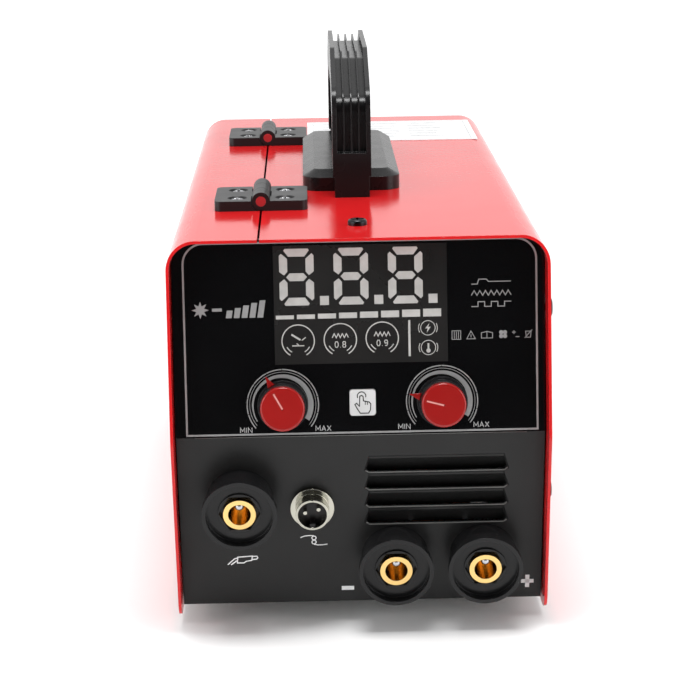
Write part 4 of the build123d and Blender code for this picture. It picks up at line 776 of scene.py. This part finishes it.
def wire_coil():
    """Close turns of welding wire between the spool's flanges, over the layers below."""
    low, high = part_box("wire_winding")
    centre = (low + high) / 2
    outer = (high.z - low.z) / 2
    thick = 0.5 * MM               # radius at which the turns lie side by side
    turns = int((high.x - low.x) / (2 * thick)) - 1
    steps = 48
    start = centre.x - turns * thick
    points = []
    for i in range(turns * steps + 1):
        turn = 2 * math.pi * i / steps
        x = start + 2 * thick * i / steps
        reach = outer - thick
        points.append(Vector((x, centre.y + reach * math.sin(turn), centre.z + reach * math.cos(turn))))
    top = sweep("wire_turns", points, thick * 0.98, "spool", "welding_wire", sides=6)
    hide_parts("wire_winding")
    core = bmesh.new()
    rings = []
    inner = 25.0 * MM
    profile = [(low.x, inner), (low.x, outer - thick), (high.x, outer - thick), (high.x, inner)]
    count = 72
    for x, reach in profile:
        turns_round = [2 * math.pi * k / count for k in range(count)]
        rings.append([core.verts.new((x, centre.y + reach * math.sin(t), centre.z + reach * math.cos(t)))
                      for t in turns_round])
    for i, ring in enumerate(rings):
        after = rings[(i + 1) % len(rings)]
        for k in range(count):
            m = (k + 1) % count
            core.faces.new((ring[k], ring[m], after[m], after[k]))
    bmesh.ops.recalc_face_normals(core, faces=core.faces)
    place_mesh("wire_under_layers", core, "spool", looks["welding_wire"])


def coil_spring():
    """Compression spring on the tensioner's stud."""
    axis = Vector(joints["tension_turn"]["axis"]).normalized()
    origin = Vector(joints["tension_turn"]["pos_m"])
    heights = [(vertex.co - origin).dot(axis) for vertex in nodes["tensioner_spring"].data.vertices]
    side = axis.orthogonal().normalized()
    across = axis.cross(side)
    wire, reach, turns, steps = 0.45 * MM, 4.0 * MM, 6.0, 28
    low, high = min(heights) + wire, max(heights) - wire
    points = []
    count = int(turns * steps)
    for i in range(count + 1):
        share = i / count
        flat_end = min(max((share - 0.12) / 0.76, 0), 1)     # closed end turns
        turn = 2 * math.pi * turns * share
        points.append(origin + axis * (low + (high - low) * flat_end)
                      + (side * math.cos(turn) + across * math.sin(turn)) * reach)
    spring = sweep("tensioner_coil", points, wire, "tensioner", "hard_steel")
    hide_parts("tensioner_spring")


def detent_pins():
    """Domed steel pin let into the keyway at the top of each socket's bore."""
    for name, (u, v) in SOCKET_PLACES.items():
        mesh = bmesh.new()
        place = Matrix.Translation(sockets.point(u, v + PIN_RISE, PIN_LIFT))
        bmesh.ops.create_uvsphere(mesh, u_segments=24, v_segments=14, radius=PIN_RADIUS * MM, matrix=place)
        place_mesh(name + "_detent_pin", mesh, "chassis", looks["hard_steel"], smooth=True)


def fine_beads():
    """Pale beads that paint a highlight, light caught on edges: along the fold and on the louvers' lower rims."""
    reach = 66.0
    fold = [control.point(u, 0.0, 0.05) for u in (-reach, reach)]
    # Painted highlight along the fold, where light catches the bend.
    sweep("fold_bead", fold, 0.3 * MM, "chassis", "black_paint", highlight_bead_paint)
    end, corner = 28.4, 27.2
    for i in range(LOUVER_COUNT):
        low = LOUVER_TOP - LOUVER_HEIGHT - i * LOUVER_PITCH
        rim = [(-end, low + 0.7), (-corner, low - 0.3), (corner, low - 0.3), (end, low + 0.7)]
        line = [sockets.point(LOUVER_U + u, v, 0.0) for u, v in rim]
        # Painted highlight along each louver's lower rim.
        sweep("louver_rim_" + str(i + 1), line, 0.28 * MM, "chassis", "black_paint", highlight_bead_paint)


wire_coil()
coil_spring()
detent_pins()
fine_beads()


# ------------------------------------------------------------------------------ studio
def area_light(name, place, target, size, power):
    light = bpy.data.lights.new(name, "AREA")
    light.shape, light.size, light.size_y = "RECTANGLE", size[0], size[1]
    light.energy = power
    lamp = bpy.data.objects.new(name, light)
    lamp.location = place
    lamp.rotation_euler = (Vector(target) - Vector(place)).to_track_quat("-Z", "Y").to_euler()
    bpy.context.scene.collection.objects.link(lamp)


def make_floor():
    """White sheet under the machine that glows a little further out, to merge with the backdrop."""
    mesh = bmesh.new()
    side, front, rear = 3.0, -1.2, 3.0
    level = -0.0001                # a hair under the feet
    outline = ((-side, front), (side, front), (side, rear), (-side, rear))
    mesh.faces.new([mesh.verts.new((x, y, level)) for x, y in outline])
    data = bpy.data.meshes.new("studio_floor")
    mesh.to_mesh(data)
    mesh.free()
    look = Finish("floor_white")
    look.colour(look.mix(look.remap(look.noise(3.0), 0, 1), (0.93, 0.93, 0.93), (0.96, 0.96, 0.96)))
    look.roughness(look.remap(look.noise(20.0), 0.55, 0.65))
    reach = look.node("ShaderNodeVectorMath", operation="LENGTH")
    look.link(look.place, reach.inputs[0])
    glow = look.remap(reach.outputs["Value"], 0.0, 0.45, 0.4, 0.8)
    look.link(glow, look.shader.inputs["Emission Strength"])
    look.set(Emission_Color=(1, 1, 1, 1))
    data.materials.append(look.material)
    floor = bpy.data.objects.new("studio_floor", data)
    bpy.context.scene.collection.objects.link(floor)


def make_world():
    """White backdrop to the eye; as light, bright from behind and dim from the camera's side."""
    world = bpy.data.worlds.new("studio")
    bpy.context.scene.world = world
    world.use_nodes = True
    tree = world.node_tree
    back = tree.nodes["Background"]
    direction = tree.nodes.new("ShaderNodeTexCoord")
    split = tree.nodes.new("ShaderNodeSeparateXYZ")
    tree.links.new(direction.outputs["Generated"], split.inputs["Vector"])
    ramp = tree.nodes.new("ShaderNodeMapRange")
    ramp.inputs["From Min"].default_value = -0.6
    ramp.inputs["From Max"].default_value = 0.1
    ramp.inputs["To Min"].default_value = 0.04
    ramp.inputs["To Max"].default_value = 1.0
    tree.links.new(split.outputs["Y"], ramp.inputs["Value"])
    seen = tree.nodes.new("ShaderNodeLightPath")
    mix = tree.nodes.new("ShaderNodeMix")
    mix.data_type = "FLOAT"
    tree.links.new(seen.outputs["Is Camera Ray"], mix.inputs["Factor"])
    tree.links.new(ramp.outputs["Result"], mix.inputs["A"])
    mix.inputs["B"].default_value = 1.15
    tree.links.new(mix.outputs["Result"], back.inputs["Strength"])
    back.inputs["Color"].default_value = (1, 1, 1, 1)


def make_camera():
    """The photographer's view: in front, a little above, looking down."""
    yaw, pitch, roll = 0.018, 0.2495, -0.016
    forward = Vector((math.sin(yaw) * math.cos(pitch), math.cos(yaw) * math.cos(pitch), -math.sin(pitch)))
    level = Vector((math.cos(yaw), -math.sin(yaw), 0))
    upright = level.cross(forward)
    right = level * math.cos(roll) + upright * math.sin(roll)
    up = upright * math.cos(roll) - level * math.sin(roll)
    lens = bpy.data.cameras.new("camera")
    lens.lens, lens.sensor_width = 106.95, 36.0
    lens.clip_start, lens.clip_end = 0.05, 60.0
    camera = bpy.data.objects.new("camera", lens)
    camera.matrix_world = Matrix((right, up, -forward)).transposed().to_4x4()
    camera.location = (-0.01804, -0.95643, 0.32024)
    bpy.context.scene.collection.objects.link(camera)
    bpy.context.scene.camera = camera


make_floor()
make_world()
area_light("overhead_key", (0.0, -0.3, 1.35), (0, -0.1, 0.1), (0.5, 0.4), 13.0)
for side in (-1.2, 1.2):
    area_light("side_softbox", (side, -0.75, 0.45), (0, -0.1, 0.08), (0.9, 0.9), 8.5)
make_camera()
bpy.context.scene.view_settings.view_transform = "Standard"
bpy.context.scene.view_settings.look = "None"
